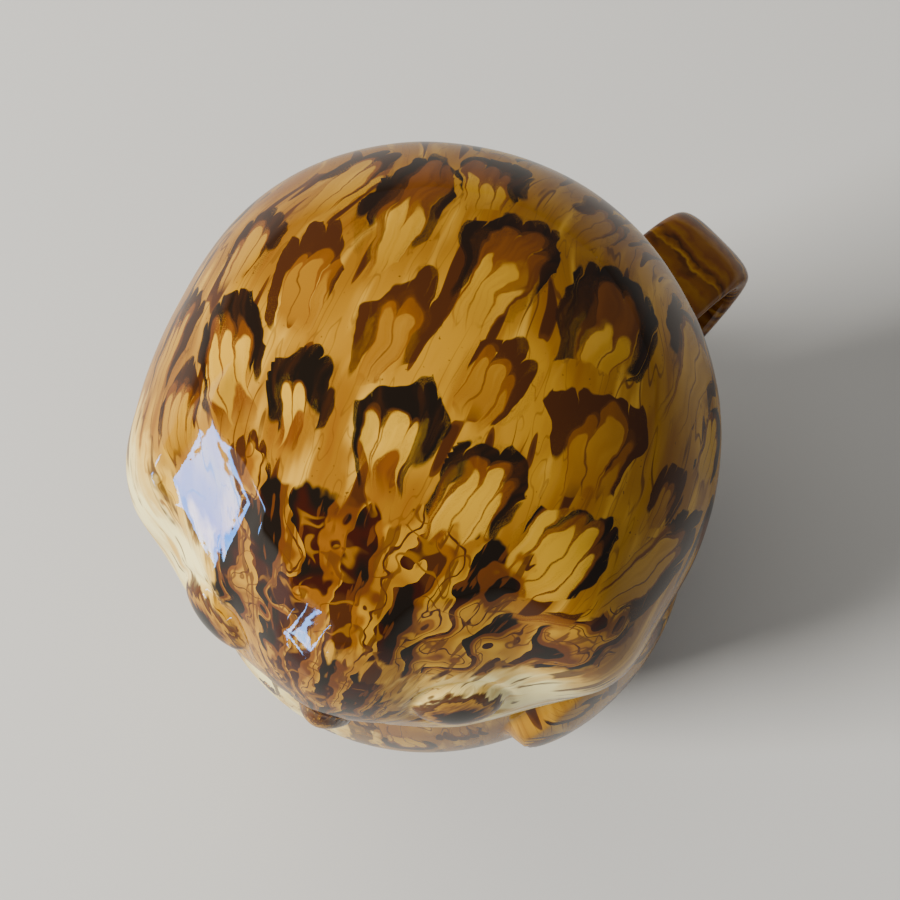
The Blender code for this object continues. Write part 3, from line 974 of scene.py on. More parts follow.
    def inner_profile(self) -> Profile:
        """Return the ledge, the collar and the hollow, as radius and height pairs.

        Returns:
            The profile from the shoulder to the centre of the floor.
        """
        top = self.shoulder_height + self.collar_height
        mouth = self.collar_radius - self.collar_wall
        outer_rim = ((self.collar_radius, self.shoulder_height), (self.collar_radius, top), (mouth, top))
        inner_rim = ((self.collar_radius, top), (mouth, top), (mouth, self.shoulder_height))
        rim = arc_corner(*outer_rim, self.rim_rounding) + arc_corner(*inner_rim, self.rim_rounding)
        ceiling = self.shoulder_height - self.wall - (self.shoulder_radius - self.wall - mouth) / 2
        hollow = []
        for row in range(self.inner_rows + 1):
            height = mix(ceiling, self.floor + self.foot_height, row / self.inner_rows)
            hollow.append((self.radius(height) - self.wall, height))
        floor = arc_corner(hollow[-1], (hollow[-1][0], self.floor), (0.0, self.floor), self.foot_height / 2,
                           self.floor_steps)
        ledge = [(self.radius(self.shoulder_height), self.shoulder_height),
                 (self.collar_radius, self.shoulder_height)]
        neck = [(mouth, self.shoulder_height - self.wall)]
        return ledge + rim + neck + hollow + floor + [(0.0, self.floor)]

    def strap_curve(self) -> tuple[Vector, Vector, Vector, Vector]:
        """Return the curve of the strap's middle, which goes furthest out at the strap's reach.

        Returns:
            Its four control points, as radius and height pairs.
        """
        top = self.radius(self.strap_top) - self.wall / 2
        bottom = self.radius(self.strap_bottom) - self.wall / 2
        reach = self.strap_reach - self.strap_thickness / 2
        top_pull, bottom_pull, middle_pull = self.strap_pulls
        pull = (reach - top_pull * top - bottom_pull * bottom) / middle_pull
        over = mix(top, pull, self.strap_over)
        out = pull + (pull - over) * 2 / 3
        out_height = mix(self.strap_bottom, self.strap_top, self.strap_out)
        return (Vector((top, self.strap_top)), Vector((over, self.strap_top + self.strap_rise)),
                Vector((out, out_height)), Vector((bottom, self.strap_bottom)))

    def strap_middle(self, share: float) -> Vector:
        """Return the middle of the strap.

        Args:
            share: How far along the strap, from 0 to 1.

        Returns:
            The point, as radius and height.
        """
        start, over, out, end = self.strap_curve()
        rest = 1.0 - share
        return (start * rest ** 3 + over * 3 * rest ** 2 * share
                + out * 3 * rest * share ** 2 + end * share ** 3)

    def strap_corner(self, share: float, turn: float) -> Vector:
        """Return a point of the strap's skin.

        Args:
            share: How far along the strap, from 0 to 1.
            turn: The angle round its rounded oblong section.

        Returns:
            The point.
        """
        middle = self.strap_middle(share)
        ahead, behind = self.strap_middle(min(share + 0.01, 1.0)), self.strap_middle(max(share - 0.01, 0.0))
        along = (ahead - behind).normalized()
        at_wall = bump(share, 0.0, self.strap_flare_length) + bump(share, 1.0, self.strap_flare_length)
        upright = Vector((0.0, -1.0 if share > 0.5 else 1.0))
        across = Vector((-along.y, along.x)).lerp(upright, at_wall).normalized()
        power = 2 / self.strap_squareness
        wide = math.copysign(abs(math.cos(turn)) ** power, math.cos(turn))
        thick = math.copysign(abs(math.sin(turn)) ** power, math.sin(turn))
        wide *= self.strap_width / 2 * (1.0 + self.strap_flare * at_wall)
        spot = middle + across * (thick * self.strap_thickness / 2)
        bend = middle.x - math.sqrt(middle.x ** 2 - wide ** 2)
        return Vector((wide, spot.x - bend * at_wall, spot.y))

    def strap_mesh(self) -> Mesh:
        """Build the strap as a sheet rolled up round its middle, with both ends closed.

        Returns:
            The strap's closed mesh.
        """
        mesh = bmesh.new()
        bmesh.ops.create_grid(mesh, x_segments=self.strap_rings, y_segments=self.strap_sides, size=0.5)
        for point in mesh.verts:
            point.co = self.strap_corner(point.co.x + 0.5, math.tau * (point.co.y + 0.5))
        bmesh.ops.remove_doubles(mesh, verts=mesh.verts, dist=WELD)
        bmesh.ops.holes_fill(mesh, edges=[edge for edge in mesh.edges if edge.is_boundary], sides=0)
        bmesh.ops.recalc_face_normals(mesh, faces=mesh.faces)
        return mesh

    def toes_mesh(self) -> Mesh:
        """Build the toes of both feet as stretched balls that lean out of the foot.

        Returns:
            The toes' closed meshes, as one.
        """
        mesh = bmesh.new()
        around, upwards = self.toe_segments
        middle = self.toe_size[2] / 2 + self.toe_clearance
        for side in (-1, 1):
            for toe in range(self.toes_per_foot):
                angle = side * self.foot_angle + (toe - (self.toes_per_foot - 1) / 2) * self.toe_spacing
                place = Matrix.Rotation(angle, 4, "Z")
                place @= Matrix.Translation((0.0, -self.foot_radius, middle))
                place @= Matrix.Diagonal((*[size / 2 for size in self.toe_size], 1.0))
                bmesh.ops.create_uvsphere(mesh, u_segments=around, v_segments=upwards, radius=1.0,
                                          matrix=place)
        bmesh.ops.recalc_face_normals(mesh, faces=mesh.faces)
        return mesh

    def dress(self, piece: Piece) -> None:
        """Give the body's skin the attributes that its clays follow.

        Args:
            piece: The built body.
        """
        points = mesh_values(piece.data.vertices, "co", 3)
        angle = np.arctan2(points[:, 0], -points[:, 1])
        height = points[:, 2]
        radius = np.hypot(points[:, 0], points[:, 1])
        plain = np.array([self.radius(level) for level in height])
        skin = np.array([self.swell(turn, level) + self.wing_lift(turn, level)
                         for turn, level in zip(angle, height)])
        inside = (radius < plain - self.wall * 0.55) & (height > self.floor * 0.6)
        inside |= height > self.shoulder_height + MM / 10
        clear = radius - plain - skin
        behind = (points[:, 1] > 0) & (np.abs(points[:, 0]) < self.strap_width)
        behind &= height > self.strap_bottom / 2
        strap = smooth_step(*self.strap_clear, clear) * behind
        toes = smooth_step(*self.toe_clear, clear) * (height < 2 * self.foot_height)
        breast = np.hypot((np.degrees(angle) - self.cream_middle) / self.cream_half,
                          (height - self.belly_height) / (self.shoulder_height * self.cream_tall))
        flow = np.stack([np.sin(angle) * FLOW_RING, np.cos(angle) * FLOW_RING,
                         height * self.flow_drop], axis=1)
        for name, values in (
                ("flow", flow),
                ("inside", inside.astype(float)),
                ("bare", smooth_step(*self.bare_levels, height) * (radius < self.foot_radius + MM)),
                ("strap", strap),
                ("strap_run", self.strap_lengths(points, strap) / MM),
                ("cream", np.clip(0.5 + (1.0 - breast) * self.cream_edge, 0.0, 1.0)),
                ("swirl", toes),
                ("no_feather", np.maximum(strap, toes))):
            write_attribute(piece, name, values)
        lay_feathers(piece, self.feathers())

    def strap_lengths(self, points: np.ndarray, strap: np.ndarray) -> np.ndarray:
        """Return how far along the strap each of its points lies.

        Args:
            points: The points, one row each.
            strap: How surely each belongs to the strap, from 0 to 1.

        Returns:
            The length from the strap's top end to each point, and 0 off the strap.
        """
        steps = self.strap_measures
        curve = np.array([tuple(self.strap_middle(share / steps)) for share in range(steps + 1)])
        lengths = np.concatenate([[0.0], np.cumsum(np.linalg.norm(np.diff(curve, axis=0), axis=1))])
        result = np.zeros(len(points))
        chosen = np.flatnonzero(strap > 0)
        gaps = ((points[chosen][:, None, 1:3] - curve[None, :, :]) ** 2).sum(axis=2)
        result[chosen] = lengths[gaps.argmin(axis=1)]
        return result

    def feathers(self) -> list[Feather]:
        """Return the body's feather marks.

        Returns:
            The marks, which hang down, and sweep to the tips on the wings.
        """
        dice = random.Random(self.feather_seed)
        sweep = Vector(((self.wing_tip[0] - self.wing_top[0]) * self.belly_radius,
                        self.wing_tip[1] - self.wing_top[1]))
        aside, upwards = self.feather_jitter
        found: list[Feather] = []
        for height in range(*self.feather_heights):
            for angle in range(*self.feather_turns):
                turn = math.radians(angle + dice.uniform(-aside, aside))
                level = (height + dice.uniform(-upwards, upwards)) * MM
                place = self.point(turn, level)
                near = min(((place - other.middle).length for other in found), default=1.0)
                if near < self.feather_gap:
                    continue
                lean = sweep.normalized() if self.wing_lift(turn, level) > 0 else Vector((0.0, -1.0))
                east = Vector((math.cos(turn), math.sin(turn), 0.0)) * math.copysign(1.0, turn)
                run = east * lean.x + Vector((0.0, 0.0, lean.y))
                axis = Vector((place.x, place.y, 0.0))
                run.rotate(Matrix.Rotation(math.radians(dice.uniform(*LEANS)), 3, axis))
                on_breast = abs(math.degrees(turn) - self.cream_middle) < self.cream_half
                kind = FeatherKind.BLOTCH if on_breast else dice.choice(self.kinds)
                size = self.breast_feather if on_breast else 1.0
                found.append(Feather(place, run, dice.uniform(*self.feather_length) * size,
                                     dice.uniform(*self.feather_width) * size, kind.value,
                                     dice.uniform(*CHANCES)))
        return found

    def build(self) -> Piece:
        """Build the body with its wings, toes, collar and strap as one hollow solid.

        Returns:
            The body, still without its clays.
        """
        mesh = bmesh.new()
        spin_profile(mesh, self.outer_profile(), self.columns)
        for point in mesh.verts:
            if point.co.z > self.foot_height:
                point.co = self.point(math.atan2(point.co.x, -point.co.y), point.co.z)
        hollow = bmesh.new()
        spin_profile(hollow, self.inner_profile(), self.columns)
        add_skin(mesh, hollow)
        close_and_face_out(mesh)
        body = finished_object("jug", mesh)
        fuse(body, [finished_object("strap", self.strap_mesh()), finished_object("toes", self.toes_mesh())])
        return body


class Signal:
    """A number, a vector or a colour on its way through the nodes of a material."""

    def __init__(self, wiring: "Wiring", socket: bpy.types.NodeSocket) -> None:
        """Keep the socket that the value comes out of."""
        self.wiring = wiring
        self.socket = socket

    def __add__(self, other: "Number") -> "Signal":
        """Return the sum."""
        return self.wiring.math("ADD", self, other)

    def __sub__(self, other: "Number") -> "Signal":
        """Return the difference."""
        return self.wiring.math("SUBTRACT", self, other)

    def __rsub__(self, other: float) -> "Signal":
        """Return a number less this value."""
        return self.wiring.math("SUBTRACT", other, self)

    def __mul__(self, other: "Number") -> "Signal":
        """Return the product."""
        return self.wiring.math("MULTIPLY", self, other)

    def __truediv__(self, other: "Number") -> "Signal":
        """Return the quotient."""
        return self.wiring.math("DIVIDE", self, other)

    __radd__ = __add__
    __rmul__ = __mul__


Number = Union[float, Signal]
Paint = Union[Clay, Signal, tuple[float, float, float, float]]


class Wiring:
    """Adds nodes to one material or group, and joins them."""

    def __init__(self, tree: Tree) -> None:
        """Keep the node tree that is built."""
        self.tree = tree

    def node(self, kind: str, **settings: object) -> bpy.types.Node:
        """Add a node.

        Args:
            kind: The end of the node's type name.
            settings: The node's own settings.

        Returns:
            The node.
        """
        node = self.tree.nodes.new("ShaderNode" + kind)
        for name, value in settings.items():
            setattr(node, name, value)
        return node

    def feed(self, socket: bpy.types.NodeSocket, value: Union[Number, Triple, Paint]) -> None:
        """Give a socket a value, a clay's colour or a link.

        Args:
            socket: The socket.
            value: What goes in.
        """
        if isinstance(value, Signal):
            self.tree.links.new(value.socket, socket)
        elif isinstance(value, Clay):
            socket.default_value = (*value.value, 1.0)
        else:
            socket.default_value = value

    def fed(self, node: bpy.types.Node, sockets: Iterable[Union[int, str]], values: Iterable[object],
            output: Union[int, str] = 0) -> Signal:
        """Feed some of a node's sockets and return what comes out.

        Args:
            node: The node.
            sockets: The places or names of its inputs.
            values: What goes into each.
            output: The place or name of the output.

        Returns:
            What comes out there.
        """
        for socket, value in zip(sockets, values):
            self.feed(node.inputs[socket], value)
        return Signal(self, node.outputs[output])

    def math(self, operation: str, *values: Number) -> Signal:
        """Return what a sum of one, two or three values gives."""
        return self.fed(self.node("Math", operation=operation), range(3), values)

    def step(self, low: Number, high: Number, value: Number) -> Signal:
        """Return 0 below low, 1 above high and a smooth rise between, or the fall if low is the greater."""
        node = self.node("MapRange", interpolation_type="SMOOTHSTEP")
        return self.fed(node, ("Value", "From Min", "From Max"), (value, low, high))

    def within(self, edge: Signal, soft: float, depth: Signal) -> Signal:
        """Return 1 where a depth is less than an edge and 0 where it is more, over a soft border."""
        return self.step(edge + soft, edge - soft, depth)

    def lobe(self, off: Signal, narrow: float) -> Signal:
        """Return a round arch, 1 in its middle and 0 past its sides."""
        return self.math("SQRT", self.math("MAXIMUM", 1.0 - off * off * narrow, 0.0))

    def blend(self, share: Number, under: Number, over: Number) -> Signal:
        """Return the number a share of the way from one to another."""
        return self.fed(self.node("Mix", data_type="FLOAT"), (0, 2, 3), (share, under, over))

    def paint(self, share: Number, under: Paint, over: Paint) -> Signal:
        """Return one colour with another laid over it by a share."""
        return self.fed(self.node("Mix", data_type="RGBA"), (0, 6, 7), (share, under, over), 2)

    def lay(self, colour: Paint, *coats: tuple[Number, Paint]) -> Paint:
        """Return a colour with others laid over it.

        Args:
            colour: The colour underneath.
            coats: The others in order, each with its share ahead of it.

        Returns:
            The colour on top.
        """
        for share, coat in coats:
            colour = self.paint(share, colour, coat)
        return colour

    def vector(self, operation: str, first: Signal, second: Union[Number, Triple]) -> Signal:
        """Return what two vectors give, or a vector scaled by a number."""
        second_input = "Scale" if operation == "SCALE" else 1
        return self.fed(self.node("VectorMath", operation=operation), (0, second_input), (first, second))

    def parts(self, value: Signal) -> tuple[Signal, Signal, Signal]:
        """Return the three parts of a vector."""
        node = self.fed(self.node("SeparateXYZ"), (0,), (value,)).socket.node
        return tuple(Signal(self, output) for output in node.outputs)

    def join(self, *values: Number) -> Signal:
        """Return the vector of up to three numbers."""
        return self.fed(self.node("CombineXYZ"), range(3), values)

    def noise(self, place: Signal, scale: float, detail: float = 2.0, output: str = "Fac") -> Signal:
        """Return soft noise round 0.5 at a place, as a number or a colour."""
        return self.fed(self.node("TexNoise"), ("Vector", "Scale", "Detail"), (place, scale, detail), output)

    def wave(self, place: Signal, scale: float, detail: float = 2.0) -> Signal:
        """Return soft noise round 0 at a place."""
        return self.noise(place, scale, detail) - 0.5

    def thread(self, place: Signal, scale: float) -> Signal:
        """Return how far a place lies from the thin threads that noise draws."""
        return self.math("ABSOLUTE", self.wave(place, scale, 1.0))

    def wander(self, flow: Signal, spot: Signal, scale: float, detail: float, reach: float) -> Signal:
        """Return the flow pushed about by noise.

        Args:
            flow: The flow of the clays.
            spot: The place on the piece.
            scale: The noise's scale.
            detail: The noise's detail.
            reach: How far it pushes.

        Returns:
            The flow there.
        """
        push = self.vector("SUBTRACT", self.noise(spot, scale, detail, "Color"), (0.5, 0.5, 0.5))
        return self.vector("ADD", flow, self.vector("SCALE", push, reach))

    def chance(self, first: Number, second: Number) -> Signal:
        """Return a number from 0 to 1 that two numbers fix by chance."""
        node = self.node("TexWhiteNoise", noise_dimensions="2D")
        return self.fed(node, ("Vector",), (self.join(first, second),), "Value")

    def strata(self, level: Number, *stops: tuple[float, Clay]) -> Signal:
        """Return the clay that lies at a level of a stack of clays.

        Args:
            level: The level, from 0 to 1.
            stops: The clays from the lowest up, each with its level.

        Returns:
            The clay's colour.
        """
        node = self.node("ValToRGB")
        elements = node.color_ramp.elements
        while len(elements) < len(stops):
            elements.new(0.5)
        for entry, (position, clay) in zip(elements, stops):
            entry.position = position
            entry.color = (*clay.value, 1.0)
        return self.fed(node, (0,), (level,))

    def attribute(self, name: str, output: str = "Fac") -> Signal:
        """Return a value that the piece's mesh carries."""
        return Signal(self, self.node("Attribute", attribute_name=name).outputs[output])

    def place(self, effect: Tree, **values: Union[Number, Paint]) -> dict[str, Signal]:
        """Place an effect.

        Args:
            effect: The effect's group.
            values: What goes in, by name, with _ for a space.

        Returns:
            What it puts out, by name.
        """
        node = self.node("Group", node_tree=effect)
        for name, value in values.items():
            self.feed(node.inputs[name.replace("_", " ")], value)
        return {output.name: Signal(self, output) for output in node.outputs}


class Effect:
    """A shader effect that several materials share, with named inputs and outputs."""

    def __init__(self, name: str, inputs: Iterable[str], **outputs: str) -> None:
        """Make the empty group.

        Args:
            name: The effect's name.
            inputs: The names of the vectors that go in.
            outputs: What comes out, each with its kind: Float or Color.
        """
        self.tree = bpy.data.node_groups.new(name, "ShaderNodeTree")
        for way, sockets in (("INPUT", dict.fromkeys(inputs, "Vector")), ("OUTPUT", outputs)):
            for label, kind in sockets.items():
                self.tree.interface.new_socket(label, in_out=way, socket_type="NodeSocket" + kind)
        self.wiring = Wiring(self.tree)
        entry = self.tree.nodes.new("NodeGroupInput")
        self.given = [Signal(self.wiring, output) for output in entry.outputs if output.name]
        self.exit = self.tree.nodes.new("NodeGroupOutput")

    def give(self, **values: Signal) -> Tree:
        """Send the values out and return the finished group.

        Args:
            values: What goes out, by name.

        Returns:
            The group.
        """
        for name, value in values.items():
            self.wiring.feed(self.exit.inputs[name], value)
        return self.tree


def feather_effect() -> Tree:
    """Build the effect that draws a feather mark: a scalloped dark arch, a rust cap and pale fingers.

    Returns:
        The group, with the mark's colour and how much it covers.
    """
    effect = Effect("Feather mark", ("Place", "Look", "Root", "Body place"), Color="Color", Cover="Float")
    go, spot = effect.wiring, effect.given[3]
    (x, y, chance), (dark, cap, brown), (root, pale, _) = (go.parts(given) for given in effect.given[:3])
    coarse, fine = (go.parts(go.noise(spot, scale, 1.0, "Color")) for scale in (120.0, 520.0))
    x = x + (coarse[0] - 0.5) * 0.28 + (fine[0] - 0.5) * 0.03
    y = y + (coarse[1] - 0.5) * 0.26 + (fine[1] - 0.5) * 0.03
    side = x / (go.step(-0.1, 0.85, y) * 0.20 + 0.26)
    top = go.math("MAXIMUM", y - 0.52, 0.0) / 0.50
    depth = go.math("SQRT", side * side + top * top)
    crown = go.step(0.30, 0.90, y)
    finger = side / (0.34 + 0.18 * go.chance(chance, 3.7)) + go.chance(chance, 9.1)
    number = go.math("ROUND", finger)
    lobe = go.lobe(finger - number, 4.0)
    groove = 1.0 - lobe
    first, second, third, fourth = (go.chance(each, chance) for each in
                                    (number, number + 17.3, number + 41.9, number + 71.3))
    rim = 1.0 - first * 0.20
    lean = 1.0 + side * (go.chance(chance, 21.0) - 0.5) * 1.3
    band = rim - dark * (second * 0.62 + 0.38) * lean * (0.80 + 0.20 * crown)
    under_cap = band - cap * (third * 0.48 + 0.34) * (0.10 + 0.90 * crown)
    inside_rim = go.within(rim, 0.018, depth + groove * (0.14 + 0.16 * brown))
    inside_band = go.within(band, 0.02, depth + groove * (0.18 + 0.22 * fourth))
    inside_cap = go.within(under_cap, 0.024, depth + groove * (0.30 + 0.30 * first))
    cap_line = 1.04 - cap * (0.50 + 0.18 * second) - groove * 0.26
    inside_cap = inside_cap * go.within(cap_line, 0.022, y)
    blob = side / 0.74 + go.chance(chance, 5.5)
    blob_number = go.math("ROUND", blob)
    blob_top = 0.40 + 0.22 * go.chance(blob_number, chance)
    in_blob = go.within(blob_top * root * go.lobe(blob - blob_number, 4.2), 0.02, y)
    middle = (depth * 2.0 - rim - band) / (rim - band + 0.001)
    arm_end = 0.02 + 0.44 * go.chance(number + 5.0, chance + 2.0) + middle * middle * 0.06
    arm = go.step(arm_end - 0.02, arm_end + 0.04, y)
    streak = go.noise(go.join(side * 4.0, y * 1.5, chance * 50.0), 1.0)
    night = go.lay(Clay.BLACK, (brown, Clay.DARK_BROWN), (go.step(0.45, 0.75, streak) * 0.5, Clay.DARK_BROWN))
    rust = go.lay(Clay.RUST, (go.step(0.35, 0.70, streak), Clay.DEEP_RUST), (brown * 0.5, Clay.AMBER))
    seam = go.step(0.55, 0.25, lobe) * go.step(0.34, 0.46, streak + first * 0.2)
    light = go.lay(Clay.OCHRE,
                   (pale, Clay.STRAW),
                   (go.step(0.46, 0.70, streak) * 0.6, Clay.PALE_OCHRE),
                   (go.step(0.55, 0.05, y) * 0.55, Clay.DEEP_OCHRE),
                   (brown * 0.7, Clay.AMBER),
                   (seam * 0.9, Clay.BROWN),
                   (in_blob, rust))
    fringe = go.step(band + 0.035, band, depth + groove * 0.14) * (1.0 - inside_band)
    colour = go.lay(night, (inside_band, go.paint(inside_cap, rust, light)), (fringe * 0.6, Clay.BROWN))
    return effect.give(Color=colour, Cover=inside_rim * go.blend(inside_band, arm, go.step(0.0, 0.24, y)))


def ground_effect() -> Tree:
    """Build the effect of the ochre clay between the marks, with thin brown threads and strokes.

    Returns:
        The group, with the clay's colour.
    """
    effect = Effect("Ochre ground", ("Flow", "Body place"), Color="Color")
    go, (flow, spot) = effect.wiring, effect.given
    flow = go.wander(flow, spot, 34.0, 1.0, 2.6)
    broad, drawn, speck = go.noise(spot, 42.0), go.noise(flow, 0.42), go.noise(spot, 1500.0, 1.0)
    patch = go.step(0.50, 0.62, go.noise(spot, 70.0, 1.0))
    second_thread = go.thread(go.vector("ADD", flow, (31.0, 7.0, 3.0)), 0.85)
    stroke = go.noise(go.vector("ADD", flow, (3.0, 57.0, 11.0)), 0.44, 1.0)
    return effect.give(Color=go.lay(
        Clay.DEEP_OCHRE,
        (go.step(0.38, 0.62, broad), Clay.OCHRE),
        (go.step(0.52, 0.72, drawn) * 0.7, Clay.PALE_OCHRE),
        (go.step(0.48, 0.32, drawn) * 0.7, Clay.AMBER),
        (go.step(0.020, 0.006, go.thread(flow, 0.46)) * patch * 0.85, Clay.BROWN),
        (go.step(0.022, 0.004, second_thread) * (1.0 - patch) * 0.4, Clay.BROWN),
        (go.step(0.635, 0.645, stroke), Clay.BROWN),
        (go.step(0.65, 0.67, stroke), Clay.DARK_BROWN),
        (go.step(0.74, 0.78, speck) * 0.7, Clay.DARK_BROWN)))


def swirl_effect() -> Tree:
    """Build the effect of clays folded many times into each other, as on the face.

    Returns:
        The group, with the clays' colour.
    """
    effect = Effect("Folded clays", ("Flow", "Body place"), Color="Color")
    go, (flow, spot) = effect.wiring, effect.given
    across, upwards, _ = go.parts(flow)
    curl = go.step(0.46, 0.62, go.noise(spot, 55.0, 1.0)) * 3.0 + 1.3
    around = go.math("ARCTAN2", upwards, across) * 5.2 + go.wave(spot, 118.0, 1.0) * curl
    around = around + go.wave(spot, 300.0, 1.0) * 0.45
    broad = go.wave(go.vector("ADD", flow, (40.0, 2.0, 9.0)), 0.17)
    tone, smear = go.noise(spot, 105.0), go.noise(flow, 1.1)
    level = go.math("FRACT", around) * 0.66 + broad * 1.1 + 0.005
    night = go.lay(Clay.BLACK, (go.step(0.44, 0.54, tone), Clay.SWIRL_BROWN),
                   (go.step(0.56, 0.62, tone), Clay.DARK_BROWN))
    rust = go.paint(go.step(0.44, 0.60, tone), Clay.DEEP_RUST, Clay.AMBER)
    gold = go.paint(go.step(0.42, 0.58, tone), Clay.DEEP_OCHRE, Clay.OCHRE)
    eddy_place = go.vector("ADD", spot, go.vector("SCALE", go.noise(spot, 120.0, 1.0, "Color"), 0.012))
    thread = go.thread(eddy_place, 150.0)
    light_thread = go.step(0.030, 0.008, thread) * go.step(0.32, 0.28, level) * go.step(0.50, 0.56, tone)
    dark_thread = go.step(0.020, 0.006, thread) * go.step(0.32, 0.36, level)
    return effect.give(Color=go.lay(
        night,
        (go.step(0.30, 0.33, level), rust),
        (go.step(0.40, 0.48, level), gold),
        (go.step(0.515, 0.525, level) * go.step(0.555, 0.545, level), Clay.DARK_BROWN),
        (go.step(0.60, 0.80, level) * 0.6, Clay.STRAW),
        (go.step(0.56, 0.60, smear) * go.step(0.34, 0.44, level) * 0.85, Clay.BROWN),
        (go.step(0.40, 0.36, smear) * go.step(0.34, 0.24, level) * 0.8, Clay.DEEP_RUST),
        (light_thread * 0.7, Clay.DEEP_OCHRE),
        (dark_thread * 0.8, Clay.BROWN)))


def cream_effect() -> Tree:
    """Build the effect of the cream clay with brown streaks drawn through it.

    Returns:
        The group, with the clay's colour.
    """
    effect = Effect("Cream clay", ("Flow", "Body place"), Color="Color")
    go, (flow, spot) = effect.wiring, effect.given
    flow = go.wander(flow, spot, 90.0, 2.0, 3.0)
    tint = go.noise(spot, 60.0, 3.0)
    stroke = go.noise(go.vector("ADD", flow, (13.0, 5.0, 17.0)), 0.50)
    return effect.give(Color=go.lay(
        Clay.CREAM,
        (go.step(0.40, 0.60, tint), Clay.OLD_CREAM),
        (go.step(0.52, 0.66, go.noise(flow, 0.34)) * 0.8, Clay.PALE_OCHRE),
        (go.step(0.022, 0.005, go.thread(flow, 0.6)) * go.step(0.45, 0.6, tint) * 0.8, Clay.RUST),
        (go.step(0.61, 0.66, stroke) * 0.9, Clay.UMBER)))


def skin_effect() -> Tree:
    """Build the effect of the glaze's own skin: a faint ripple, pinholes and what they do to the gloss.

    Returns:
        The group, with the skin's height and roughness and where its pinholes are.
    """
    effect = Effect("Glaze skin", ("Body place",), Height="Float", Roughness="Float", Pit="Float")
    go, (spot,) = effect.wiring, effect.given
    ripple = go.noise(spot, 190.0) * 0.7 + go.noise(spot, 60.0, 1.0) * 1.6
    holes = go.node("TexVoronoi", feature="F1")
    away = go.fed(holes, ("Vector", "Scale"), (spot, 105.0), "Distance")
    chosen = go.step(0.80, 0.84, go.chance(Signal(go, holes.outputs["Color"]), 1.0))
    pit = go.step(0.040, 0.018, away) * chosen
    roughness = go.blend(go.step(0.35, 0.7, go.noise(spot, 35.0, 3.0)), 0.10, 0.19)
    return effect.give(Height=ripple - pit * 1.4, Roughness=roughness + pit * 0.3, Pit=pit)


def new_material(name: str) -> tuple[bpy.types.Material, Wiring]:
    """Make a material with its shader.

    Args:
        name: The material's name.

    Returns:
        The material and its wiring.
    """
    material = bpy.data.materials.new(name)
    material.use_nodes = True
    return material, Wiring(material.node_tree)


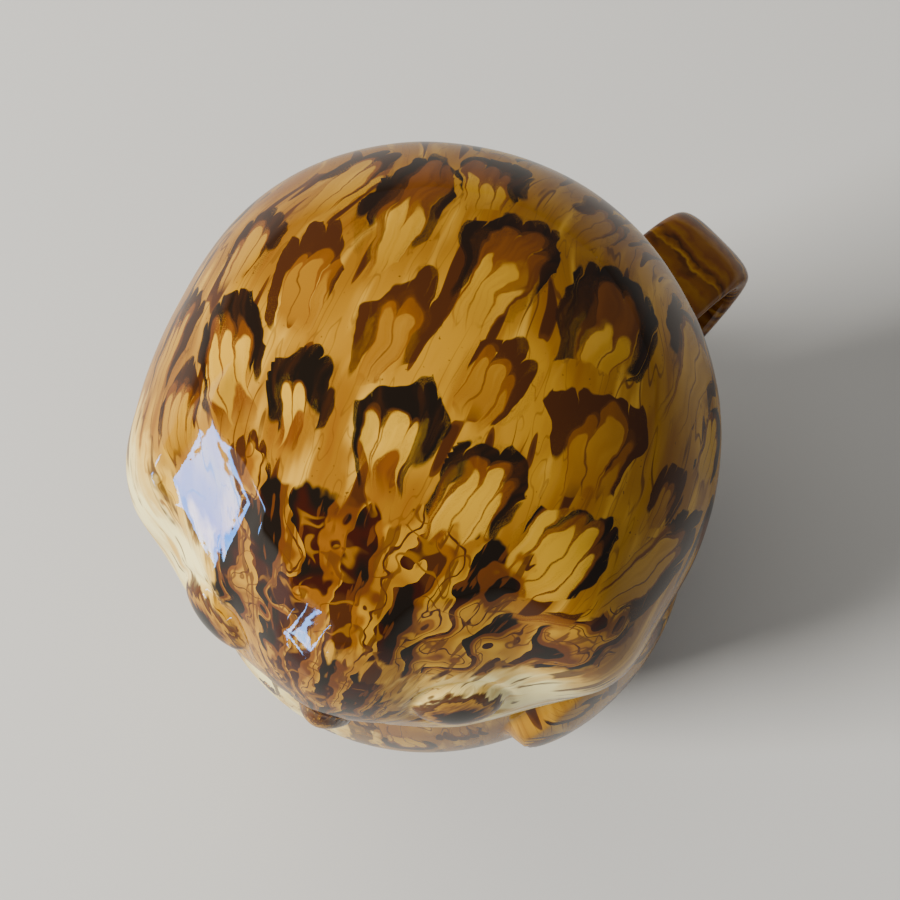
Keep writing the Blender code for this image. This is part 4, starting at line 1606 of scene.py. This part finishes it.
@dataclass(frozen=True)
class MarbledGlaze:
    """The marbled clays under their honey glaze, with the settings that one piece gives them."""

    name: str
    ripple: float = 0.00004
    gloss: float = 0.5
    coat_roughness: float = 0.02
    coat_ior: float = 1.5
    bare_roughness: float = 0.8
    # How far the pinholes are darkened towards dark brown.
    pit_darkening: float = 0.6
    band_width: float = 10.5
    iris: tuple[tuple[float, Clay], ...] = (
        (0.0, Clay.UMBER), (0.10, Clay.BROWN), (0.18, Clay.DARK_BROWN), (0.25, Clay.OCHRE),
        (0.36, Clay.DEEP_OCHRE), (0.45, Clay.BROWN), (0.50, Clay.SWIRL_BROWN), (0.58, Clay.BLACK))
    bands: tuple[tuple[float, Clay], ...] = (
        (0.0, Clay.RUST), (0.10, Clay.AMBER), (0.20, Clay.DEEP_OCHRE), (0.28, Clay.RUST),
        (0.36, Clay.BROWN), (0.46, Clay.BROWN), (0.51, Clay.OCHRE), (0.57, Clay.AMBER),
        (0.63, Clay.DARK_BROWN), (0.74, Clay.RUST), (0.84, Clay.DEEP_OCHRE), (0.93, Clay.AMBER),
        (1.0, Clay.RUST))

    def build(self, effects: dict[str, Tree]) -> bpy.types.Material:
        """Build the material.

        Args:
            effects: The shared effects by name.

        Returns:
            The finished material.
        """
        material, go = new_material(self.name)
        inputs = material.node_tree.nodes["Principled BSDF"].inputs
        spot = Signal(go, go.node("TexCoord").outputs["Object"])
        bare, skin = go.attribute("bare"), go.place(effects["skin"], Body_place=spot)
        # The bare foot turns biscuit, and the pinholes are darkened towards dark brown.
        colour = go.lay(self.clays(go, effects, spot),
                        (bare, Clay.BISCUIT), (skin["Pit"] * self.pit_darkening, Clay.DARK_BROWN))
        for name, value in (("Base Color", colour),
                            ("Roughness", go.blend(bare, skin["Roughness"], self.bare_roughness)),
                            ("Coat Weight", (1.0 - bare) * self.gloss),
                            ("Coat Roughness", self.coat_roughness),
                            ("Coat IOR", self.coat_ior),
                            ("Specular IOR Level", 0.0)):
            go.feed(inputs[name], value)
        ripple = go.fed(go.node("Bump"), ("Distance", "Height"), (self.ripple, skin["Height"]))
        for name in ("Normal", "Coat Normal"):
            go.feed(inputs[name], ripple)
        return material

    def clays(self, go: Wiring, effects: dict[str, Tree], spot: Signal) -> Signal:
        """Return the colour of the clays as they lie on a piece.

        Args:
            go: The material's wiring.
            effects: The shared effects by name.
            spot: The place on the piece.

        Returns:
            The colour, before the bare foot and the pinholes.
        """
        flow = go.attribute("flow", "Vector")
        ragged = go.wave(spot, 230.0) * 0.55 + go.wave(flow, 0.6, 1.0) * 0.7
        ground, swirl, cream = (go.place(effects[name], Flow=flow, Body_place=spot)["Color"]
                                for name in ("ground", "swirl", "cream"))
        place, look, root = (go.attribute("feather_" + name, "Vector") for name in ("place", "look", "root"))
        mark = go.place(effects["feather"], Place=place, Look=look, Root=root, Body_place=spot)
        free = go.step(0.55, 0.45, go.attribute("no_feather") + ragged * 0.4)
        free = free * go.step(0.05, 0.08, go.attribute("feather_edge") + go.wave(spot, 170.0) * 0.55)
        depth = go.attribute("cream") + ragged * 1.2
        stroke = go.noise(go.vector("ADD", flow, (61.0, 8.0, 2.0)), 0.42)
        stroke = go.step(0.55, 0.59, stroke) * go.step(0.98, 0.80, depth)
        cream = go.lay(cream, (go.step(1.05, 0.55, depth) * 0.8, Clay.PALE_OCHRE),
                       (stroke * 0.85, Clay.DARK_BROWN))
        colour = go.lay(ground,
                        (go.step(0.36, 0.64, depth), cream),
                        (mark["Cover"] * free, mark["Color"]),
                        (go.step(0.44, 0.56, go.attribute("swirl") + ragged * 1.1), swirl))
        on_strap = go.step(0.42, 0.58, go.attribute("strap") + go.wave(spot, 260.0) * 0.4)
        return go.lay(self.features(go, colour, flow, ragged),
                      (on_strap, self.strap_bands(go, spot)),
                      (go.attribute("inside"), go.paint(go.noise(spot, 90.0), Clay.DEEP_OCHRE, Clay.OCHRE)))

    def features(self, go: Wiring, colour: Signal, flow: Signal, ragged: Signal) -> Signal:
        """Lay in the eyes and the beak, as marbled ovals with a dark rim.

        Args:
            go: The material's wiring.
            colour: The clays' colour.
            flow: The flow of the clays.
            ragged: What makes their edges ragged.

        Returns:
            The colour with the eyes and the beak.
        """
        smear = go.noise(flow, 0.9, 3.0) - 0.5
        for name, wobble in (("eye", 0.40), ("beak", 0.25)):
            depth = go.attribute(name) + ragged * wobble + smear * 0.5
            iris = go.strata((depth - 0.5) * 0.9 + smear * 0.30, *self.iris)
            colour = go.paint(go.step(0.46, 0.54, depth), colour, iris)
        return colour

    def strap_bands(self, go: Wiring, spot: Signal) -> Signal:
        """Return the strap's clays, which run in wavy bands across it.

        Args:
            go: The material's wiring.
            spot: The place on the piece.

        Returns:
            The bands' colour.
        """
        wave = go.wave(spot, 150.0) * 5.5 + go.wave(spot, 420.0) * 2.0
        level = go.math("FRACT", (go.attribute("strap_run") + wave) / self.band_width)
        fleck = go.step(0.50, 0.66, go.noise(spot, 190.0)) * 0.6
        return go.lay(go.strata(level, *self.bands), (fleck, Clay.AMBER))


@dataclass(frozen=True)
class Lamp:
    """A soft square light that the glaze doesn't mirror."""

    name: str
    place: Triple
    size: float
    watts: float
    colour: Triple

    def hang(self, aim: Triple) -> None:
        """Hang the light so that it faces a point.

        Args:
            aim: The point.
        """
        data = bpy.data.lights.new(self.name, "AREA")
        data.shape = "RECTANGLE"
        data.size = data.size_y = self.size
        data.energy = self.watts
        data.color = self.colour
        lamp = bpy.data.objects.new(self.name, data)
        bpy.context.scene.collection.objects.link(lamp)
        turn = (Vector(aim) - Vector(self.place)).to_track_quat("-Z", "Y").to_matrix().to_4x4()
        lamp.matrix_world = Matrix.Translation(self.place) @ turn
        lamp.visible_glossy = False


@dataclass
class Studio:
    """The pale floor, the lights, the window that the glaze mirrors and the camera."""

    room: float = 0.26
    backdrop: float = 0.80
    room_colour: Levels = (0.95, 0.97, 1.0, 1.0)
    floor_size: float = 3.0
    floor_colour: Levels = (0.52, 0.51, 0.48, 1.0)
    floor_roughness: float = 0.9
    aim: Triple = (0.0, 0.0, 0.12)
    lamps: tuple[Lamp, ...] = (
        Lamp("daylight", (-0.56, -1.05, 1.10), 0.5, 56.0, (1.0, 0.98, 0.95)),
        Lamp("ceiling", (-0.70, 0.10, 1.3), 1.0, 7.0, (1.0, 0.97, 0.92)))
    image: float = 900.0
    sensor: float = 36.0
    clip_start: float = 0.01
    pane_distance: float = 0.30
    pane_strength: float = 60.0
    pane_stretch: Triple = (9.0, 9.0, 40.0)
    pane_colours: tuple[Levels, Levels] = ((0.06, 0.30, 1.0, 1.0), (0.32, 0.62, 1.0, 1.0))
    lens: float = 56.1
    camera_place: Triple = (0.04486, -0.03370, 0.392)
    camera_right: Triple = (0.66912268, 0.74313602, -0.00486806)
    camera_up: Triple = (-0.7243804, 0.65367005, 0.21906277)

    def camera(self) -> None:
        """Set the camera above the head, as in the photograph."""
        data = bpy.data.cameras.new("camera")
        data.lens = self.lens
        data.sensor_width = self.sensor
        data.clip_start = self.clip_start
        camera = bpy.data.objects.new("camera", data)
        bpy.context.scene.collection.objects.link(camera)
        right, up = Vector(self.camera_right), Vector(self.camera_up)
        turn = Matrix((right, up, right.cross(up))).transposed()
        camera.matrix_world = Matrix.Translation(self.camera_place) @ turn.to_4x4()
        bpy.context.scene.camera = camera

    def floor(self) -> None:
        """Lay the pale floor."""
        mesh = bmesh.new()
        bmesh.ops.create_grid(mesh, x_segments=1, y_segments=1, size=self.floor_size)
        floor = finished_object("floor", mesh)
        material, go = new_material("floor")
        shader = material.node_tree.nodes["Principled BSDF"]
        go.feed(shader.inputs["Base Color"], self.floor_colour)
        go.feed(shader.inputs["Roughness"], self.floor_roughness)
        floor.data.materials.append(material)

    def room_light(self) -> None:
        """Fill the room with light, and show the camera a paler backdrop."""
        world = bpy.data.worlds.new("room")
        world.use_nodes = True
        sky = Wiring(world.node_tree)
        background = world.node_tree.nodes["Background"]
        seen = Signal(sky, sky.node("LightPath").outputs["Is Camera Ray"])
        sky.feed(background.inputs["Color"], self.room_colour)
        sky.feed(background.inputs["Strength"], sky.blend(seen, self.room, self.backdrop))
        bpy.context.scene.world = world

    def build(self, head: HeadForm) -> None:
        """Set up the floor, the lights, the mirrored window and the camera.

        Args:
            head: The head, whose flat spots mirror the window.
        """
        self.floor()
        self.room_light()
        for lamp in self.lamps:
            lamp.hang(self.aim)
        for number, facet in enumerate(head.facets):
            self.pane("window_%d" % number, facet.seen, *head.facet_in_place(facet))
        self.camera()

    def pane(self, name: str, seen: Iterable[Pair], middle: Vector, normal: Vector) -> None:
        """Hang a bright pane that only the glaze mirrors, as it does the window in the photograph.

        Args:
            name: The pane's name.
            seen: The pixels between which the glaze mirrors the pane.
            middle: A point of the flat spot of glaze that mirrors it.
            normal: The way that spot faces.
        """
        right, up, eye = Vector(self.camera_right), Vector(self.camera_up), Vector(self.camera_place)
        mesh = bmesh.new()
        for across, down in seen:
            view = right * (across - self.image / 2) - up * (down - self.image / 2)
            view = (view - right.cross(up) * self.lens / self.sensor * self.image).normalized()
            spot = eye + view * (middle - eye).dot(normal) / view.dot(normal)
            mesh.verts.new(spot + (view - normal * 2 * view.dot(normal)) * self.pane_distance)
        mesh.faces.new(mesh.verts)
        glow = finished_object(name, mesh)
        for kind in ("camera", "diffuse", "transmission", "volume_scatter", "shadow"):
            setattr(glow, "visible_" + kind, False)
        material, go = new_material(name)
        place = go.vector("MULTIPLY", Signal(go, go.node("TexCoord").outputs["Object"]), self.pane_stretch)
        colour = go.paint(go.step(0.35, 0.65, go.noise(place, 1.0)), *self.pane_colours)
        light = go.fed(go.node("Emission"), ("Color", "Strength"), (colour, self.pane_strength))
        go.feed(material.node_tree.nodes["Material Output"].inputs["Surface"], light)
        glow.data.materials.append(material)


def present(piece: Piece, node: str) -> None:
    """Make a piece stand for a solid of the frame.

    Args:
        piece: The finished piece.
        node: The solid's node.
    """
    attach(piece, "root")
    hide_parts(node)
    LOG.info("%s: %d faces", piece.name, len(piece.data.polygons))


def main() -> None:
    """Build the jug's pieces in order."""
    logging.basicConfig(level=logging.INFO, format="%(message)s")
    effects = {"feather": feather_effect(), "ground": ground_effect(), "swirl": swirl_effect(),
               "cream": cream_effect(), "skin": skin_effect()}
    head_form = HeadForm(base=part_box("head_cup")[0][2])
    for form, glaze, node, slot in ((head_form, "marbled head", "head_cup", "head_glaze"),
                                    (BodyForm(), "marbled body", "jug_body", "body_glaze")):
        piece = form.build()
        form.dress(piece)
        piece.data.materials.append(MarbledGlaze(glaze).build(effects))
        present(piece, node)
    Studio().build(head_form)


if __name__ == "__main__":
    main()
